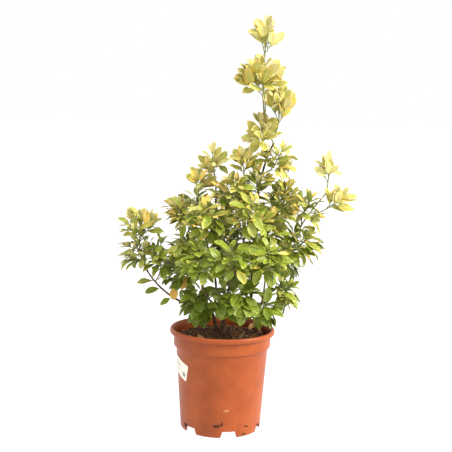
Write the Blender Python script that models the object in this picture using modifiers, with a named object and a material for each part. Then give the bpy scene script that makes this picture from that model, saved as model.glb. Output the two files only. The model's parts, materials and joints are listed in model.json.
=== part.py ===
"""Potted variegated euonymus: nursery pot, compost, label, stems, boughs and masses of foliage.

Run with: blender --background --python part.py

Everything is in metres, with +Z up. The origin is the middle of the pot's underside, on the
surface that the pot stands on. Sizes in the tables are millimetres. Each limb is one tapering
tube, and each mass of foliage is one closed solid: twigs that branch by a seeded rule from one
stem, with opposite pairs of leaves fused to them, all inside the mass's own space.
"""
import math
import random
from collections import namedtuple

import bmesh
import bpy
from mathutils import Matrix, Vector
from mathutils.bvhtree import BVHTree

MM = 0.001
GAP = 0.3 * MM
WELD = 0.001 * MM
UP = Vector((0.0, 0.0, 1.0))
GOLDEN_ANGLE = math.radians(137.5)

# ---- pot, in millimetres -------------------------------------------------------------------
POT_HEIGHT = 184.4
RIM_RADIUS = 95.0
RIM_LIP = 9.0
COLLAR_RADIUS = 88.3
COLLAR_DEPTH = 31.5
BODY_RADIUS = 83.1
BODY_TOP = 149.0
BASE_RADIUS = 72.5
WALL = 1.5
RIM_WIDTH = 6.3
RIM_ROUND = 1.6
LIP_ROUND = 1.0
COLLAR_DRAFT = 0.7
FLOOR_UNDERSIDE = 9.5
FLOOR_TOP = 11.2
FOOT_ROUND = 1.8
FOOT_WIDTH = 3.6
SKIRT_DEPTH = 3.0
CENTRE_PAD = 20.5
PAD_FLOOR = 1.8
PAD_DRAFT = 1.0
SOIL_TOP = 168.4
SOIL_CLEARANCE = 0.4
ROUND_STEPS = 32
TURN_WELD = 0.05 * MM
FEET = 6
NOTCH_WIDTH = 30.5
NOTCH_TAPER = 3.6
NOTCH_HEIGHT = 12.2
NOTCH_BELOW = 5.0
NOTCH_OUTSIDE = 6.0
NOTCH_DEPTH = 18.0
FIRST_NOTCH = math.radians(-90 + 12.4)

# ---- label -----------------------------------------------------------------------------------
LABEL_LENGTH = 60.0
LABEL_HEIGHT = 31.0
LABEL_THICKNESS = 0.25
LABEL_LIFT = 0.3
LABEL_STRIPS = 9
LABEL_RIGHT_EDGE = math.radians(-90 - 48)
LABEL_MIDDLE = 118.0
LABEL_TILT = math.radians(15)

# ---- limbs; the pulls are shares of a limb's length ------------------------------------------
LIMB_POINTS = 7
LIMB_SIDES = 6
LIMB_PULL = 0.35
LEAST_OUTWARD = 0.6
ROOT_FLARE = 0.55
ROOT_FLARE_HEIGHT = 9.0
SEAT_GAP = GAP * 1.2
LIMB_CLEARANCE = 0.7 * MM

# ---- twigs -----------------------------------------------------------------------------------
MAIN_TWIG = (1.6, 1.15)
SIDE_TWIG = (0.85, 0.7)
TWIG_SIDES = 4
STEM_POINTS = 4
STEM_TRIES = 12
STEM_STEP_BACK = 0.02
STEM_OUTWARD = 0.9
STEM_OUTWARD_STEP = 0.15
STEM_INWARD = 0.7
LEAD_RISE = 0.55
SHOOT_PULLS = (0.35, 0.3)
SHOOT_RISE = 0.5
SHORTEST_SHOOT = 0.15
FIRST_SHOOT = 0.3
SHOOT_STRETCH = 0.55
TURN_SPREAD = 0.3
LOWEST_ANGLE = 112.0
ANGLE_RANGE = 60.0
ANGLE_SPREAD = 10.0

# ---- leaves; shares are of the leaf's length -------------------------------------------------
LEAF_LENGTH = 42.0
LEAF_WIDTH = 0.62
LEAF_THICKNESS = 0.032
LEAF_OUTLINE = ((0.0, 0.0), (0.55, 0.5), (0.96, 0.2), (0.96, -0.2), (0.55, -0.5))
LEAF_TIP_FROM = 0.8
LEAF_TIP_DROP = 0.06
LEAF_MIDDLE = 0.5
LEAF_ARCH = 0.03
FULL_SIZE_REACH = 33.0
LEAF_SIZES = (0.82, 1.05)
LEAF_OVERHANG = 0.55
LEAF_PAIRS = 2
FIRST_PAIR = 2.5 * MM
PAIR_SPACING = 0.27
PAIR_SPACING_GROWTH = 0.09
LEAFY_SHARE = 0.9
TIP_SPREAD = 38.0
PAIR_SPREAD = 66.0
SPREAD_RANGE = 8.0
MOST_DROOP = 0.3
TOWARDS_TWIG_TIP, TOWARDS_SKY, TOWARDS_SIDE = 0.7, 0.6, 0.8
LEAF_SINK = 0.2 * MM
LEAF_STALK = 3.5 * MM
LEAF_TRIES = 14
TRY_TURN = 0.08
TRY_SPREAD = 0.07
TRY_SHRINK = 0.975
CELL_MARGIN = 0.5 * MM
SPACE_SLACK = 1.2

Limb = namedtuple("Limb", "name parent where tip foot end leaves_at ends_at")
Mass = namedtuple("Mass", "name limb where centre reach shoots seed")

# name, parent limb (or none for a stem out of the compost), how far along it (or the x and y
# of its foot), tip, radius at foot and tip, and the angles above level it leaves and ends at
LIMBS = (
    Limb("stem_middle", None, (1, 25), (2, 18, 243), 4.7, 3.4, 90, 88),
    Limb("stem_left", None, (-12, 40), (-24, 32, 214), 3.6, 2.8, 90, 70),
    Limb("stem_right", None, (66, 22), (51, 20, 233), 4.2, 3.2, 90, 75),
    Limb("bough_peak", "stem_middle", 1.0, (-18, 12, 442), 2.8, 1.3, 75, 88),
    Limb("bough_middle_right", "stem_middle", 0.9, (36, -50, 362), 2.5, 1.5, 50, 70),
    Limb("bough_inner", "stem_right", 0.85, (16, -20, 313), 2.6, 1.6, 50, 60),
    Limb("bough_left", "stem_left", 0.8, (-50, 6, 418), 2.4, 1.3, 40, 85),
    Limb("bough_far_left", "stem_left", 1.0, (-148, -5, 305), 2.3, 1.3, -2, 66),
    Limb("bough_front", "stem_middle", 0.75, (10, -84, 288), 2.3, 1.4, 20, 70),
    Limb("bough_front_left", "stem_middle", 0.6, (-38, -74, 286), 2.2, 1.4, 25, 70),
    Limb("bough_front_right", "stem_right", 0.5, (72, -74, 288), 2.3, 1.4, 25, 70),
    Limb("leader", "stem_right", 1.0, (83, 0, 520), 3.1, 1.6, 85, 62),
    Limb("leader_tip", "leader", 1.0, (62, 2, 612), 1.5, 1.1, 60, 90),
    Limb("bough_right", "stem_right", 0.65, (120, -5, 346), 2.5, 1.6, 50, 50),
    Limb("bough_right_spray", "bough_right", 1.0, (177, -3, 431), 1.5, 1.1, 62, 50),
    Limb("bough_back", "stem_middle", 0.5, (18, 95, 338), 2.3, 1.4, 35, 75),
    Limb("bough_back_left", "stem_left", 0.6, (-56, 84, 336), 2.2, 1.4, 40, 75),
    Limb("bough_back_right", "stem_right", 0.35, (97, 80, 342), 2.3, 1.4, 40, 75),
)

# name, limb that carries it, how far along it, middle and half sizes of its space, number of
# side shoots, seed
MASSES = (
    Mass("spire_top", "leader_tip", 1.0, (64, 0, 706), (28, 25, 32), 3, 1),
    Mass("spire_middle", "leader_tip", 0.55, (58, -12, 634), (41, 36, 37), 5, 2),
    Mass("spire_right", "leader_tip", 0.1, (87, -8, 588), (29, 30, 46), 4, 3),
    Mass("spire_lower", "leader", 0.93, (65, 3, 531), (36, 36, 41), 4, 4),
    Mass("spire_foot", "leader", 0.8, (88, 0, 489), (37, 38, 38), 5, 5),
    Mass("small_shoot", "leader", 0.6, (30, -10, 484), (23, 24, 29), 2, 6),
    Mass("leader_inner", "leader", 0.5, (56, -16, 457), (27, 31, 29), 3, 38),
    Mass("peak", "bough_peak", 1.0, (-23, 8, 477), (26, 28, 39), 3, 7),
    Mass("shoulder", "bough_left", 1.0, (-44, 5, 447), (28, 34, 34), 4, 8),
    Mass("top_centre", "bough_peak", 0.65, (12, -25, 436), (38, 38, 34), 4, 9),
    Mass("left_group", "bough_left", 0.8, (-80, 0, 396), (32, 36, 27), 4, 10),
    Mass("far_left_top", "bough_far_left", 1.0, (-150, -5, 372), (44, 32, 28), 4, 11),
    Mass("far_left_middle", "bough_far_left", 0.85, (-154, 5, 316), (37, 34, 38), 4, 12),
    Mass("far_left_inner", "bough_far_left", 0.72, (-116, -12, 313), (28, 34, 45), 3, 13),
    Mass("left_low", "bough_left", 0.3, (-82, 0, 284), (32, 36, 30), 3, 14),
    Mass("left_middle", "bough_left", 0.55, (-68, -25, 336), (34, 40, 37), 4, 15),
    Mass("front_left", "bough_front_left", 1.0, (-44, -85, 318), (36, 40, 39), 4, 16),
    Mass("front_centre", "bough_front", 1.0, (12, -95, 321), (39, 40, 39), 4, 17),
    Mass("front_right", "bough_front_right", 1.0, (74, -85, 321), (39, 40, 39), 4, 18),
    Mass("front_left_high", "bough_peak", 0.5, (-31, -58, 392), (40, 38, 40), 4, 19),
    Mass("front_right_high", "bough_middle_right", 1.0, (43, -64, 395), (42, 38, 40), 4, 20),
    Mass("low_front", "bough_front", 0.4, (23, -66, 253), (47, 38, 40), 4, 21),
    Mass("low_left", "stem_left", 0.7, (-44, -30, 237), (34, 36, 40), 3, 22),
    Mass("low_right", "bough_front_right", 0.4, (72, -38, 229), (32, 36, 33), 3, 23),
    Mass("right_low", "bough_right", 0.35, (109, 0, 256), (31, 36, 40), 4, 24),
    Mass("right_middle", "bough_right", 0.85, (137, -15, 343), (42, 38, 35), 5, 25),
    Mass("right_upper", "bough_right_spray", 0.35, (146, -8, 400), (35, 34, 40), 4, 26),
    Mass("right_top", "leader", 0.5, (104, 5, 428), (32, 36, 32), 4, 27),
    Mass("spray_upper", "bough_right_spray", 1.0, (181, 0, 467), (23, 24, 36), 3, 28),
    Mass("spray_lower", "bough_right_spray", 0.6, (200, -11, 424), (30, 23, 23), 2, 29),
    Mass("centre", "bough_inner", 1.0, (13, -15, 351), (43, 40, 40), 5, 30),
    Mass("centre_right", "leader", 0.3, (77, -15, 368), (36, 40, 40), 4, 31),
    Mass("back_left_low", "bough_back_left", 0.7, (-65, 100, 292), (42, 38, 45), 3, 32),
    Mass("back_left_high", "bough_back_left", 1.0, (-55, 80, 385), (45, 42, 45), 4, 33),
    Mass("back_centre_low", "bough_back", 0.7, (21, 115, 284), (46, 38, 46), 3, 34),
    Mass("back_centre_high", "bough_back", 1.0, (20, 85, 392), (48, 44, 48), 4, 35),
    Mass("back_right_low", "bough_back_right", 0.7, (107, 98, 296), (45, 38, 45), 3, 36),
    Mass("back_right_high", "bough_back_right", 1.0, (95, 75, 390), (45, 42, 45), 4, 37),
)


# ---- scene helpers ---------------------------------------------------------------------------
def clear_scene():
    for old in list(bpy.data.objects):
        bpy.data.objects.remove(old, do_unlink=True)


def new_collection(name):
    made = bpy.data.collections.new(name)
    bpy.context.scene.collection.children.link(made)
    return made


def linear(hex_colour):
    """sRGB hex to linear red, green, blue, alpha."""
    values = [int(hex_colour[i:i + 2], 16) / 255 for i in (0, 2, 4)]
    return [v / 12.92 if v <= 0.04045 else ((v + 0.055) / 1.055) ** 2.4 for v in values] + [1.0]


def new_material(name, hex_colour, roughness):
    made = bpy.data.materials.new(name)
    made.use_nodes = True
    shader = made.node_tree.nodes["Principled BSDF"]
    shader.inputs["Base Color"].default_value = linear(hex_colour)
    shader.inputs["Roughness"].default_value = roughness
    shader.inputs["Metallic"].default_value = 0.0
    made.diffuse_color = linear(hex_colour)
    return made


def new_object(name, mesh, collection, material=None):
    made = bpy.data.objects.new(name, mesh)
    collection.objects.link(made)
    if material:
        mesh.materials.append(material)
    return made


def baked_mesh(thing):
    """The thing's evaluated shape as a new mesh with its loose ends welded."""
    graph = bpy.context.evaluated_depsgraph_get()
    mesh = bpy.data.meshes.new_from_object(thing.evaluated_get(graph))
    shape = bmesh.new()
    shape.from_mesh(mesh)
    bmesh.ops.remove_doubles(shape, verts=shape.verts, dist=WELD)
    shape.to_mesh(mesh)
    shape.free()
    return mesh


def remove_object(thing):
    data = thing.data
    bpy.data.objects.remove(thing, do_unlink=True)
    if isinstance(data, bpy.types.Curve):
        bpy.data.curves.remove(data)
    else:
        bpy.data.meshes.remove(data)


def turned(name, profile, collection, material):
    """A profile of (radius, height) pairs in millimetres, turned about Z."""
    mesh = bpy.data.meshes.new(name)
    points = [(radius * MM, 0.0, height * MM) for radius, height in profile]
    mesh.from_pydata(points, [(i, i + 1) for i in range(len(points) - 1)], [])
    made = new_object(name, mesh, collection, material)
    screw = made.modifiers.new("turn", "SCREW")
    screw.steps = ROUND_STEPS
    screw.render_steps = ROUND_STEPS
    screw.use_merge_vertices = True
    screw.merge_threshold = TURN_WELD
    screw.use_smooth_shade = True
    return made


# ---- pot, compost and label ------------------------------------------------------------------
def wall_radius(height):
    """Outer radius of the pot's body below the collar."""
    return BASE_RADIUS + (BODY_RADIUS - BASE_RADIUS) * height / BODY_TOP


def pot_profile():
    """From the floor's middle up the inside, over the rim and down the outside to the middle."""
    collar_foot = POT_HEIGHT - COLLAR_DEPTH
    lip_foot = POT_HEIGHT - RIM_LIP
    mouth = RIM_RADIUS - RIM_WIDTH
    return [
        (0.0, PAD_FLOOR),
        (CENTRE_PAD - WALL - PAD_DRAFT, PAD_FLOOR),
        (CENTRE_PAD - WALL, FLOOR_TOP),
        (wall_radius(FLOOR_TOP) - WALL, FLOOR_TOP),
        (BODY_RADIUS - WALL, BODY_TOP),
        (COLLAR_RADIUS - COLLAR_DRAFT - WALL, collar_foot),
        (COLLAR_RADIUS - WALL, lip_foot),
        (mouth, POT_HEIGHT - RIM_ROUND),
        (mouth + RIM_ROUND, POT_HEIGHT),
        (RIM_RADIUS - RIM_ROUND, POT_HEIGHT),
        (RIM_RADIUS, POT_HEIGHT - RIM_ROUND),
        (RIM_RADIUS, lip_foot + LIP_ROUND),
        (RIM_RADIUS - LIP_ROUND, lip_foot),
        (COLLAR_RADIUS, lip_foot),
        (COLLAR_RADIUS - COLLAR_DRAFT, collar_foot),
        (BODY_RADIUS, BODY_TOP),
        (wall_radius(FOOT_ROUND), FOOT_ROUND),
        (BASE_RADIUS - FOOT_ROUND, 0.0),
        (BASE_RADIUS - FOOT_WIDTH, 0.0),
        (BASE_RADIUS - SKIRT_DEPTH, FLOOR_UNDERSIDE),
        (CENTRE_PAD + PAD_DRAFT, FLOOR_UNDERSIDE),
        (CENTRE_PAD, 0.0),
        (0.0, 0.0),
    ]


def notch_cutter(index, collection):
    """A block with slanted sides that cuts one drainage notch through wall and floor."""
    mesh = bpy.data.meshes.new(f"notch_{index}")
    shape = bmesh.new()
    bmesh.ops.create_cube(shape, size=1.0)
    for point in shape.verts:
        height = NOTCH_HEIGHT if point.co.z > 0 else -NOTCH_BELOW
        half = NOTCH_WIDTH / 2 - NOTCH_TAPER * height / NOTCH_HEIGHT
        side = 1 if point.co.y > 0 else -1
        radius = BASE_RADIUS + (NOTCH_OUTSIDE if point.co.x > 0 else -NOTCH_DEPTH)
        point.co = Vector((radius, side * half, height)) * MM
    shape.to_mesh(mesh)
    shape.free()
    made = new_object(f"notch_{index}", mesh, collection)
    made.rotation_euler.z = FIRST_NOTCH + index * 2 * math.pi / FEET
    made.hide_render = True
    made.display_type = "WIRE"
    return made


def build_pot(parts, cutters, material):
    pot = turned("pot", pot_profile(), parts, material)
    for index in range(FEET):
        cut = pot.modifiers.new(f"notch_{index}", "BOOLEAN")
        cut.operation = "DIFFERENCE"
        cut.solver = "EXACT"
        cut.object = notch_cutter(index, cutters)
    return pot


def build_compost(parts, material):
    clear = GAP / MM
    inside = [
        (0.0, SOIL_TOP),
        (COLLAR_RADIUS - WALL - SOIL_CLEARANCE - clear, SOIL_TOP),
        (COLLAR_RADIUS - COLLAR_DRAFT - WALL - clear, POT_HEIGHT - COLLAR_DEPTH),
        (BODY_RADIUS - WALL - clear, BODY_TOP),
        (wall_radius(FLOOR_TOP) - WALL - clear, FLOOR_TOP + clear),
        (0.0, FLOOR_TOP + clear),
    ]
    return turned("compost", inside, parts, material)


def build_label(parts, material):
    """A paper sticker bent round the pot's wall, its right end lower."""
    mesh = bpy.data.meshes.new("label")
    shape = bmesh.new()
    bmesh.ops.create_grid(shape, x_segments=LABEL_STRIPS, y_segments=1, size=0.5)
    middle_turn = LABEL_RIGHT_EDGE - LABEL_LENGTH / 2 / BODY_RADIUS
    for point in shape.verts:
        along = point.co.x * LABEL_LENGTH
        rise = point.co.y * LABEL_HEIGHT
        round_wall = along * math.cos(LABEL_TILT) + rise * math.sin(LABEL_TILT)
        height = LABEL_MIDDLE - along * math.sin(LABEL_TILT) + rise * math.cos(LABEL_TILT)
        radius = wall_radius(height) + LABEL_LIFT
        turn = middle_turn + round_wall / BODY_RADIUS
        point.co = Vector((radius * math.cos(turn), radius * math.sin(turn), height)) * MM
    shape.to_mesh(mesh)
    shape.free()
    label = new_object("label", mesh, parts, material)
    thick = label.modifiers.new("thickness", "SOLIDIFY")
    thick.thickness = LABEL_THICKNESS * MM
    thick.offset = 1.0
    return label


# ---- limbs -----------------------------------------------------------------------------------
def heading(start, end, angle):
    """Direction level from start towards end, raised by an angle in degrees."""
    level = Vector((end.x - start.x, end.y - start.y, 0.0))
    if level.length < 1e-6:
        return UP.copy()
    rise = math.radians(angle)
    return level.normalized() * math.cos(rise) + UP * math.sin(rise)


def bezier(a, b, c, d, count):
    points = []
    for i in range(count):
        t = i / (count - 1)
        s = 1 - t
        points.append(a * s**3 + b * (3 * s * s * t) + c * (3 * s * t * t) + d * t**3)
    return points


def along(points, where):
    """Place and tangent at a share of a polyline's length, and which stretch it is on."""
    lengths = [(q - p).length for p, q in zip(points, points[1:])]
    left = sum(lengths) * min(max(where, 0.0), 1.0)
    for i, length in enumerate(lengths):
        if left <= length or i == len(lengths) - 1:
            share = min(left / length, 1.0)
            step = points[i + 1] - points[i]
            return points[i] + step * share, step.normalized(), i + share
        left -= length


def root_on(limb, where, towards, clearance):
    """Seat of a branch on a limb: a point clear of it and the plane its foot lies in.

    A branch at the tip stands on the tip's flat end. A branch lower down stands on the plane
    that touches the limb's side on the way to the branch's aim.
    """
    place, tangent, share = along(limb["points"], where)
    if where >= 1.0:
        return place + tangent * clearance, tangent
    stretch = min(int(share), len(limb["radii"]) - 2)
    low, high = limb["radii"][stretch:stretch + 2]
    radius = low + (high - low) * (share - stretch)
    side = towards - place
    side -= tangent * side.dot(tangent)
    side.normalize()
    return place + side * (radius + clearance), side


def tube(name, points, radii, collection, sides=LIMB_SIDES, turn=0.0):
    """A curve through the points, thick as the radii, as a closed mesh."""
    curve = bpy.data.curves.new(name, "CURVE")
    curve.dimensions = "3D"
    curve.use_fill_caps = True
    curve.bevel_depth = 1.0
    curve.bevel_resolution = (sides - 4) // 2
    line = curve.splines.new("POLY")
    line.points.add(len(points) - 1)
    for knot, point, radius in zip(line.points, points, radii):
        knot.co = (*point, 1.0)
        knot.radius = radius
        knot.tilt = turn
    guide = new_object(name + "_line", curve, collection)
    mesh = baked_mesh(guide)
    mesh.name = name
    remove_object(guide)
    return mesh


def seat_foot(mesh, points, normal, radius):
    """Slide the tube's first ring along its direction into the plane it stands in."""
    start = points[0]
    direction = (points[1] - start).normalized()
    reach = radius * 1.6
    rate = direction.dot(normal)
    for point in mesh.vertices:
        offset = point.co - start
        if abs(offset.dot(direction)) < 0.05 * radius and offset.length < reach:
            point.co -= direction * (offset.dot(normal) / rate)


def limb_shape(limb, grown):
    """Points and radii of a limb, and the plane of its foot."""
    tip = Vector(limb.tip) * MM
    if limb.parent is None:
        start = Vector((*limb.where, SOIL_TOP + GAP / MM)) * MM
        normal = UP
    else:
        start, normal = root_on(grown[limb.parent], limb.where, tip, SEAT_GAP)
    reach = (tip - start).length * LIMB_PULL
    leaving = heading(start, tip, limb.leaves_at)
    if limb.parent and limb.where < 1.0:
        short = max(0.0, LEAST_OUTWARD - leaving.dot(normal))
        leaving = (leaving + normal * short).normalized()
    arriving = heading(start, tip, limb.ends_at)
    points = bezier(start, start + leaving * reach, tip - arriving * reach, tip, LIMB_POINTS)
    total = sum((q - p).length for p, q in zip(points, points[1:]))
    radii = []
    gone = 0.0
    for i, point in enumerate(points):
        gone += (point - points[i - 1]).length if i else 0.0
        radius = limb.foot + (limb.end - limb.foot) * gone / total
        if limb.parent is None:
            radius *= 1.0 + ROOT_FLARE * math.exp(-gone / (ROOT_FLARE_HEIGHT * MM))
        radii.append(radius * MM)
    return {"points": points, "radii": radii, "normal": normal}


def build_limbs(parts, guides, material):
    grown = {}
    for limb in LIMBS:
        shape = limb_shape(limb, grown)
        grown[limb.name] = shape
        mesh = tube(limb.name, shape["points"], shape["radii"], guides)
        seat_foot(mesh, shape["points"], shape["normal"], shape["radii"][0])
        mesh.shade_smooth()
        shape["skin"] = tree_of(mesh)
        new_object(limb.name, mesh, parts, material)
        wider = [radius + LIMB_CLEARANCE for radius in shape["radii"]]
        keep_out = tube(limb.name + "_room", shape["points"], wider, guides)
        shape["room"] = tree_of(keep_out)
        bpy.data.meshes.remove(keep_out)
    return grown


def tree_of(mesh):
    corners = [v.co.copy() for v in mesh.vertices]
    return BVHTree.FromPolygons(corners, [tuple(p.vertices) for p in mesh.polygons])


# ---- foliage ---------------------------------------------------------------------------------
def leaf_corners(base, ahead, face, length):
    """Corners of a thin, blunt, egg-shaped leaf: five round its edge, one above, one below."""
    across = ahead.cross(face)
    width = length * LEAF_WIDTH
    thick = length * LEAF_THICKNESS
    corners = []
    for x, y in LEAF_OUTLINE:
        drop = LEAF_TIP_DROP * length if x > LEAF_TIP_FROM else 0.0
        corners.append(base + ahead * x * length + across * y * width - face * drop)
    middle = base + ahead * LEAF_MIDDLE * length + face * LEAF_ARCH * length
    corners.append(middle + face * thick / 2)
    corners.append(middle - face * thick / 2)
    return corners


LEAF_FACES = ([(i, (i + 1) % 5, 5) for i in range(5)]
              + [((i + 1) % 5, i, 6) for i in range(5)])


class Space:
    """The space that one mass keeps to: its own reach, nearer to it than to any other."""

    def __init__(self, mass):
        self.centre = Vector(mass.centre) * MM
        self.reach = Vector(mass.reach) * MM
        self.leaf = LEAF_LENGTH * min(MM, self.size(mass) / FULL_SIZE_REACH)
        self.walls = []
        own = self.size(mass)
        for other in MASSES:
            if other.name == mass.name:
                continue
            away = Vector(other.centre) * MM - self.centre
            apart = away.length
            middle = (apart * apart + own**2 - self.size(other)**2) / (2 * apart)
            self.walls.append((away / apart, middle - CELL_MARGIN))

    @staticmethod
    def size(mass):
        return sum(mass.reach) / 3 * MM

    def holds(self, point):
        offset = point - self.centre
        spread = sum((offset[i] / self.reach[i]) ** 2 for i in range(3))
        if spread > SPACE_SLACK * SPACE_SLACK:
            return False
        return all(offset.dot(away) < limit for away, limit in self.walls)


def clear_of(rooms, corners, faces):
    tree = BVHTree.FromPolygons(corners, faces)
    return all(not tree.overlap(room) for room in rooms)


def shoot_line(start, leaving, end, count):
    """A shoot's points: off at its own angle, then bending up towards its end."""
    length = (end - start).length
    aim = (end - start).normalized()
    arriving = (aim + UP * SHOOT_RISE).normalized()
    return bezier(start, start + leaving * length * SHOOT_PULLS[0],
                  end - arriving * length * SHOOT_PULLS[1], end, count)


def mass_frame(space, start):
    """Direction in which a mass grows, and two directions across it."""
    lead = (space.centre - start).normalized() + UP * LEAD_RISE
    lead.normalize()
    side = lead.orthogonal().normalized()
    return lead, side, lead.cross(side)


def shoot_end(space, direction):
    """Where a shoot ends, so that its last leaves reach the edge of the mass's space."""
    scaled = Vector([direction[i] / space.reach[i] for i in range(3)])
    edge = 1.0 / scaled.length
    reach = edge * SPACE_SLACK - space.leaf * LEAF_OVERHANG
    return space.centre + direction * max(edge * SHORTEST_SHOOT, reach)


def twig_mesh(points, ends, normal, guides, turn):
    foot, end = ends
    radii = [(foot + (end - foot) * i / (len(points) - 1)) * MM for i in range(len(points))]
    mesh = tube("twig", points, radii, guides, TWIG_SIDES, turn)
    if normal is not None:
        seat_foot(mesh, points, normal, radii[0])
    return mesh


def main_shoot(mass, grown, stems, guides):
    """The stem of a mass, rising from its limb and clear of every limb and earlier stem."""
    space = Space(mass)
    limb = grown[mass.limb]
    others = [grown[name]["room"] for name in grown if name != mass.limb]
    others += [stem["room"] for stem in stems.values()]
    for step in range(STEM_TRIES):
        where = mass.where if mass.where >= 1.0 else mass.where - STEM_STEP_BACK * step
        start, normal = root_on(limb, where, space.centre, SEAT_GAP)
        lead, side, across = mass_frame(space, start)
        top = shoot_end(space, lead)
        aim = (space.centre - start).normalized()
        outward = STEM_OUTWARD + STEM_OUTWARD_STEP * step
        leaving = (normal * outward + aim * STEM_INWARD).normalized()
        points = shoot_line(start, leaving, top, STEM_POINTS)
        mesh = twig_mesh(points, MAIN_TWIG, normal, guides, 0.0)
        tree = tree_of(mesh)
        bpy.data.meshes.remove(mesh)
        if not any(tree.overlap(other) for other in others + [limb["skin"]]):
            break
    wider = [size + LIMB_CLEARANCE / MM for size in MAIN_TWIG]
    mesh = twig_mesh(points, wider, normal, guides, 0.0)
    room = tree_of(mesh)
    bpy.data.meshes.remove(mesh)
    return {"points": points, "normal": normal, "axes": (lead, side, across), "space": space,
            "room": room}


def mass_shoots(mass, stem, rng):
    """The main shoot and its side shoots: points, plane of the foot and radii."""
    lead, side, across = stem["axes"]
    space = stem["space"]
    main = stem["points"]
    shoots = [(main, stem["normal"], MAIN_TWIG)]
    turn = rng.uniform(0, 2 * math.pi)
    for k in range(mass.shoots):
        share = (k + 0.5) / mass.shoots
        place, _, _ = along(main, FIRST_SHOOT + SHOOT_STRETCH * share)
        turn += GOLDEN_ANGLE + rng.uniform(-TURN_SPREAD, TURN_SPREAD)
        polar = math.radians(LOWEST_ANGLE - ANGLE_RANGE * share
                             + rng.uniform(-ANGLE_SPREAD, ANGLE_SPREAD))
        out = (lead * math.cos(polar)
               + (side * math.cos(turn) + across * math.sin(turn)) * math.sin(polar))
        end = shoot_end(space, out)
        shoots.append(([place, end], None, SIDE_TWIG))
    return shoots


def leaf_frames(points, leaf, rng, twig):
    """Base, direction and face of opposite leaves, each pair turned a quarter from the last.

    The twigs are four-angled, and a leaf stands on the middle of one of the four sides.
    """
    length = sum((q - p).length for p, q in zip(points, points[1:]))
    frames = []
    for k in range(LEAF_PAIRS):
        back = FIRST_PAIR + leaf * k * (PAIR_SPACING + PAIR_SPACING_GROWTH * k)
        if back > length * LEAFY_SHARE:
            break
        place, tangent, _ = along(points, 1.0 - back / length)
        _, first, _, _ = twig.ray_cast(place, tangent.orthogonal())
        first = (first - tangent * first.dot(tangent)).normalized()
        if k % 2:
            first = tangent.cross(first)
        usual = PAIR_SPREAD if k else TIP_SPREAD
        spread = math.radians(usual + rng.uniform(-SPREAD_RANGE, SPREAD_RANGE))
        frames.append((place, tangent, first, spread))
        frames.append((place, tangent, -first, spread))
    return frames


def leaf_pose(place, tangent, out, spread, droop):
    """Direction of a leaf and of its upper face, which turns up and out towards the light."""
    ahead = tangent * math.cos(spread) + out * math.sin(spread) - UP * droop
    ahead.normalize()
    outward = Vector((place.x, place.y, 0.0)).normalized()
    face = tangent * TOWARDS_TWIG_TIP + UP * TOWARDS_SKY + outward * TOWARDS_SIDE
    face -= ahead * face.dot(ahead)
    if face.length < 0.05:
        face = out - ahead * out.dot(ahead)
    return ahead, face.normalized()


def build_mass(mass, grown, stems, solids, parts, guides, material):
    rng = random.Random(mass.seed)
    space = stems[mass.name]["space"]
    pieces = bpy.data.collections.new(mass.name + "_pieces")
    bpy.context.scene.collection.children.link(pieces)
    rooms = [limb["room"] for limb in grown.values()] + solids
    rooms += [stem["room"] for name, stem in stems.items() if name != mass.name]
    shoots = mass_shoots(mass, stems[mass.name], rng)
    twig_trees = []
    kept = []
    for k, (points, normal, ends) in enumerate(shoots):
        turn = rng.uniform(0, math.pi) if k else 0.0
        mesh = twig_mesh(points, ends, normal, guides, turn)
        tree = tree_of(mesh)
        if normal is None and (any(tree.overlap(room) for room in rooms)
                               or not all(space.holds(p) for p in points)):
            bpy.data.meshes.remove(mesh)
            continue
        kept.append((points, tree))
        twig_trees.append(tree)
        new_object(f"{mass.name}_twig", mesh, pieces)
    leaf_trees = []
    for order, (points, own_tree) in enumerate(kept):
        frames = leaf_frames(points, space.leaf, rng, own_tree)
        for place, tangent, out, spread in frames:
            size = space.leaf * rng.uniform(*LEAF_SIZES)
            for tries in range(LEAF_TRIES):
                turn = rng.uniform(-TRY_TURN, TRY_TURN) * tries
                turned_out = Matrix.Rotation(turn, 3, tangent) @ out
                opened = spread + rng.uniform(-TRY_SPREAD, TRY_SPREAD) * tries
                droop = rng.uniform(0.0, MOST_DROOP)
                ahead, face = leaf_pose(place, tangent, turned_out, opened, droop)
                base = place + turned_out * LEAF_SINK
                corners = leaf_corners(base, ahead, face, size)
                if not all(space.holds(p) for p in corners[1:]):
                    size *= TRY_SHRINK
                    continue
                probe = [place + ahead * LEAF_STALK] + corners[1:]
                others = twig_trees[:order] + twig_trees[order + 1:]
                if not clear_of(rooms + leaf_trees + others, probe, LEAF_FACES):
                    continue
                leaf_trees.append(BVHTree.FromPolygons(probe, LEAF_FACES))
                mesh = bpy.data.meshes.new(f"{mass.name}_leaf")
                mesh.from_pydata(corners, [], LEAF_FACES)
                new_object(f"{mass.name}_leaf", mesh, pieces)
                break
    join_mass(mass.name, pieces, parts, material)


def join_mass(name, pieces, parts, material):
    """One Boolean union over the pieces, then only the largest body is kept."""
    first = pieces.objects[0]
    pieces.objects.unlink(first)
    parts.objects.link(first)
    join = first.modifiers.new("join", "BOOLEAN")
    join.operation = "UNION"
    join.solver = "EXACT"
    join.operand_type = "COLLECTION"
    join.collection = pieces
    mesh = baked_mesh(first)
    mesh.name = name
    remove_object(first)
    for piece in list(pieces.objects):
        remove_object(piece)
    bpy.data.collections.remove(pieces)
    keep_largest(mesh)
    mesh.materials.clear()
    new_object(name, mesh, parts, material)


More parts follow.
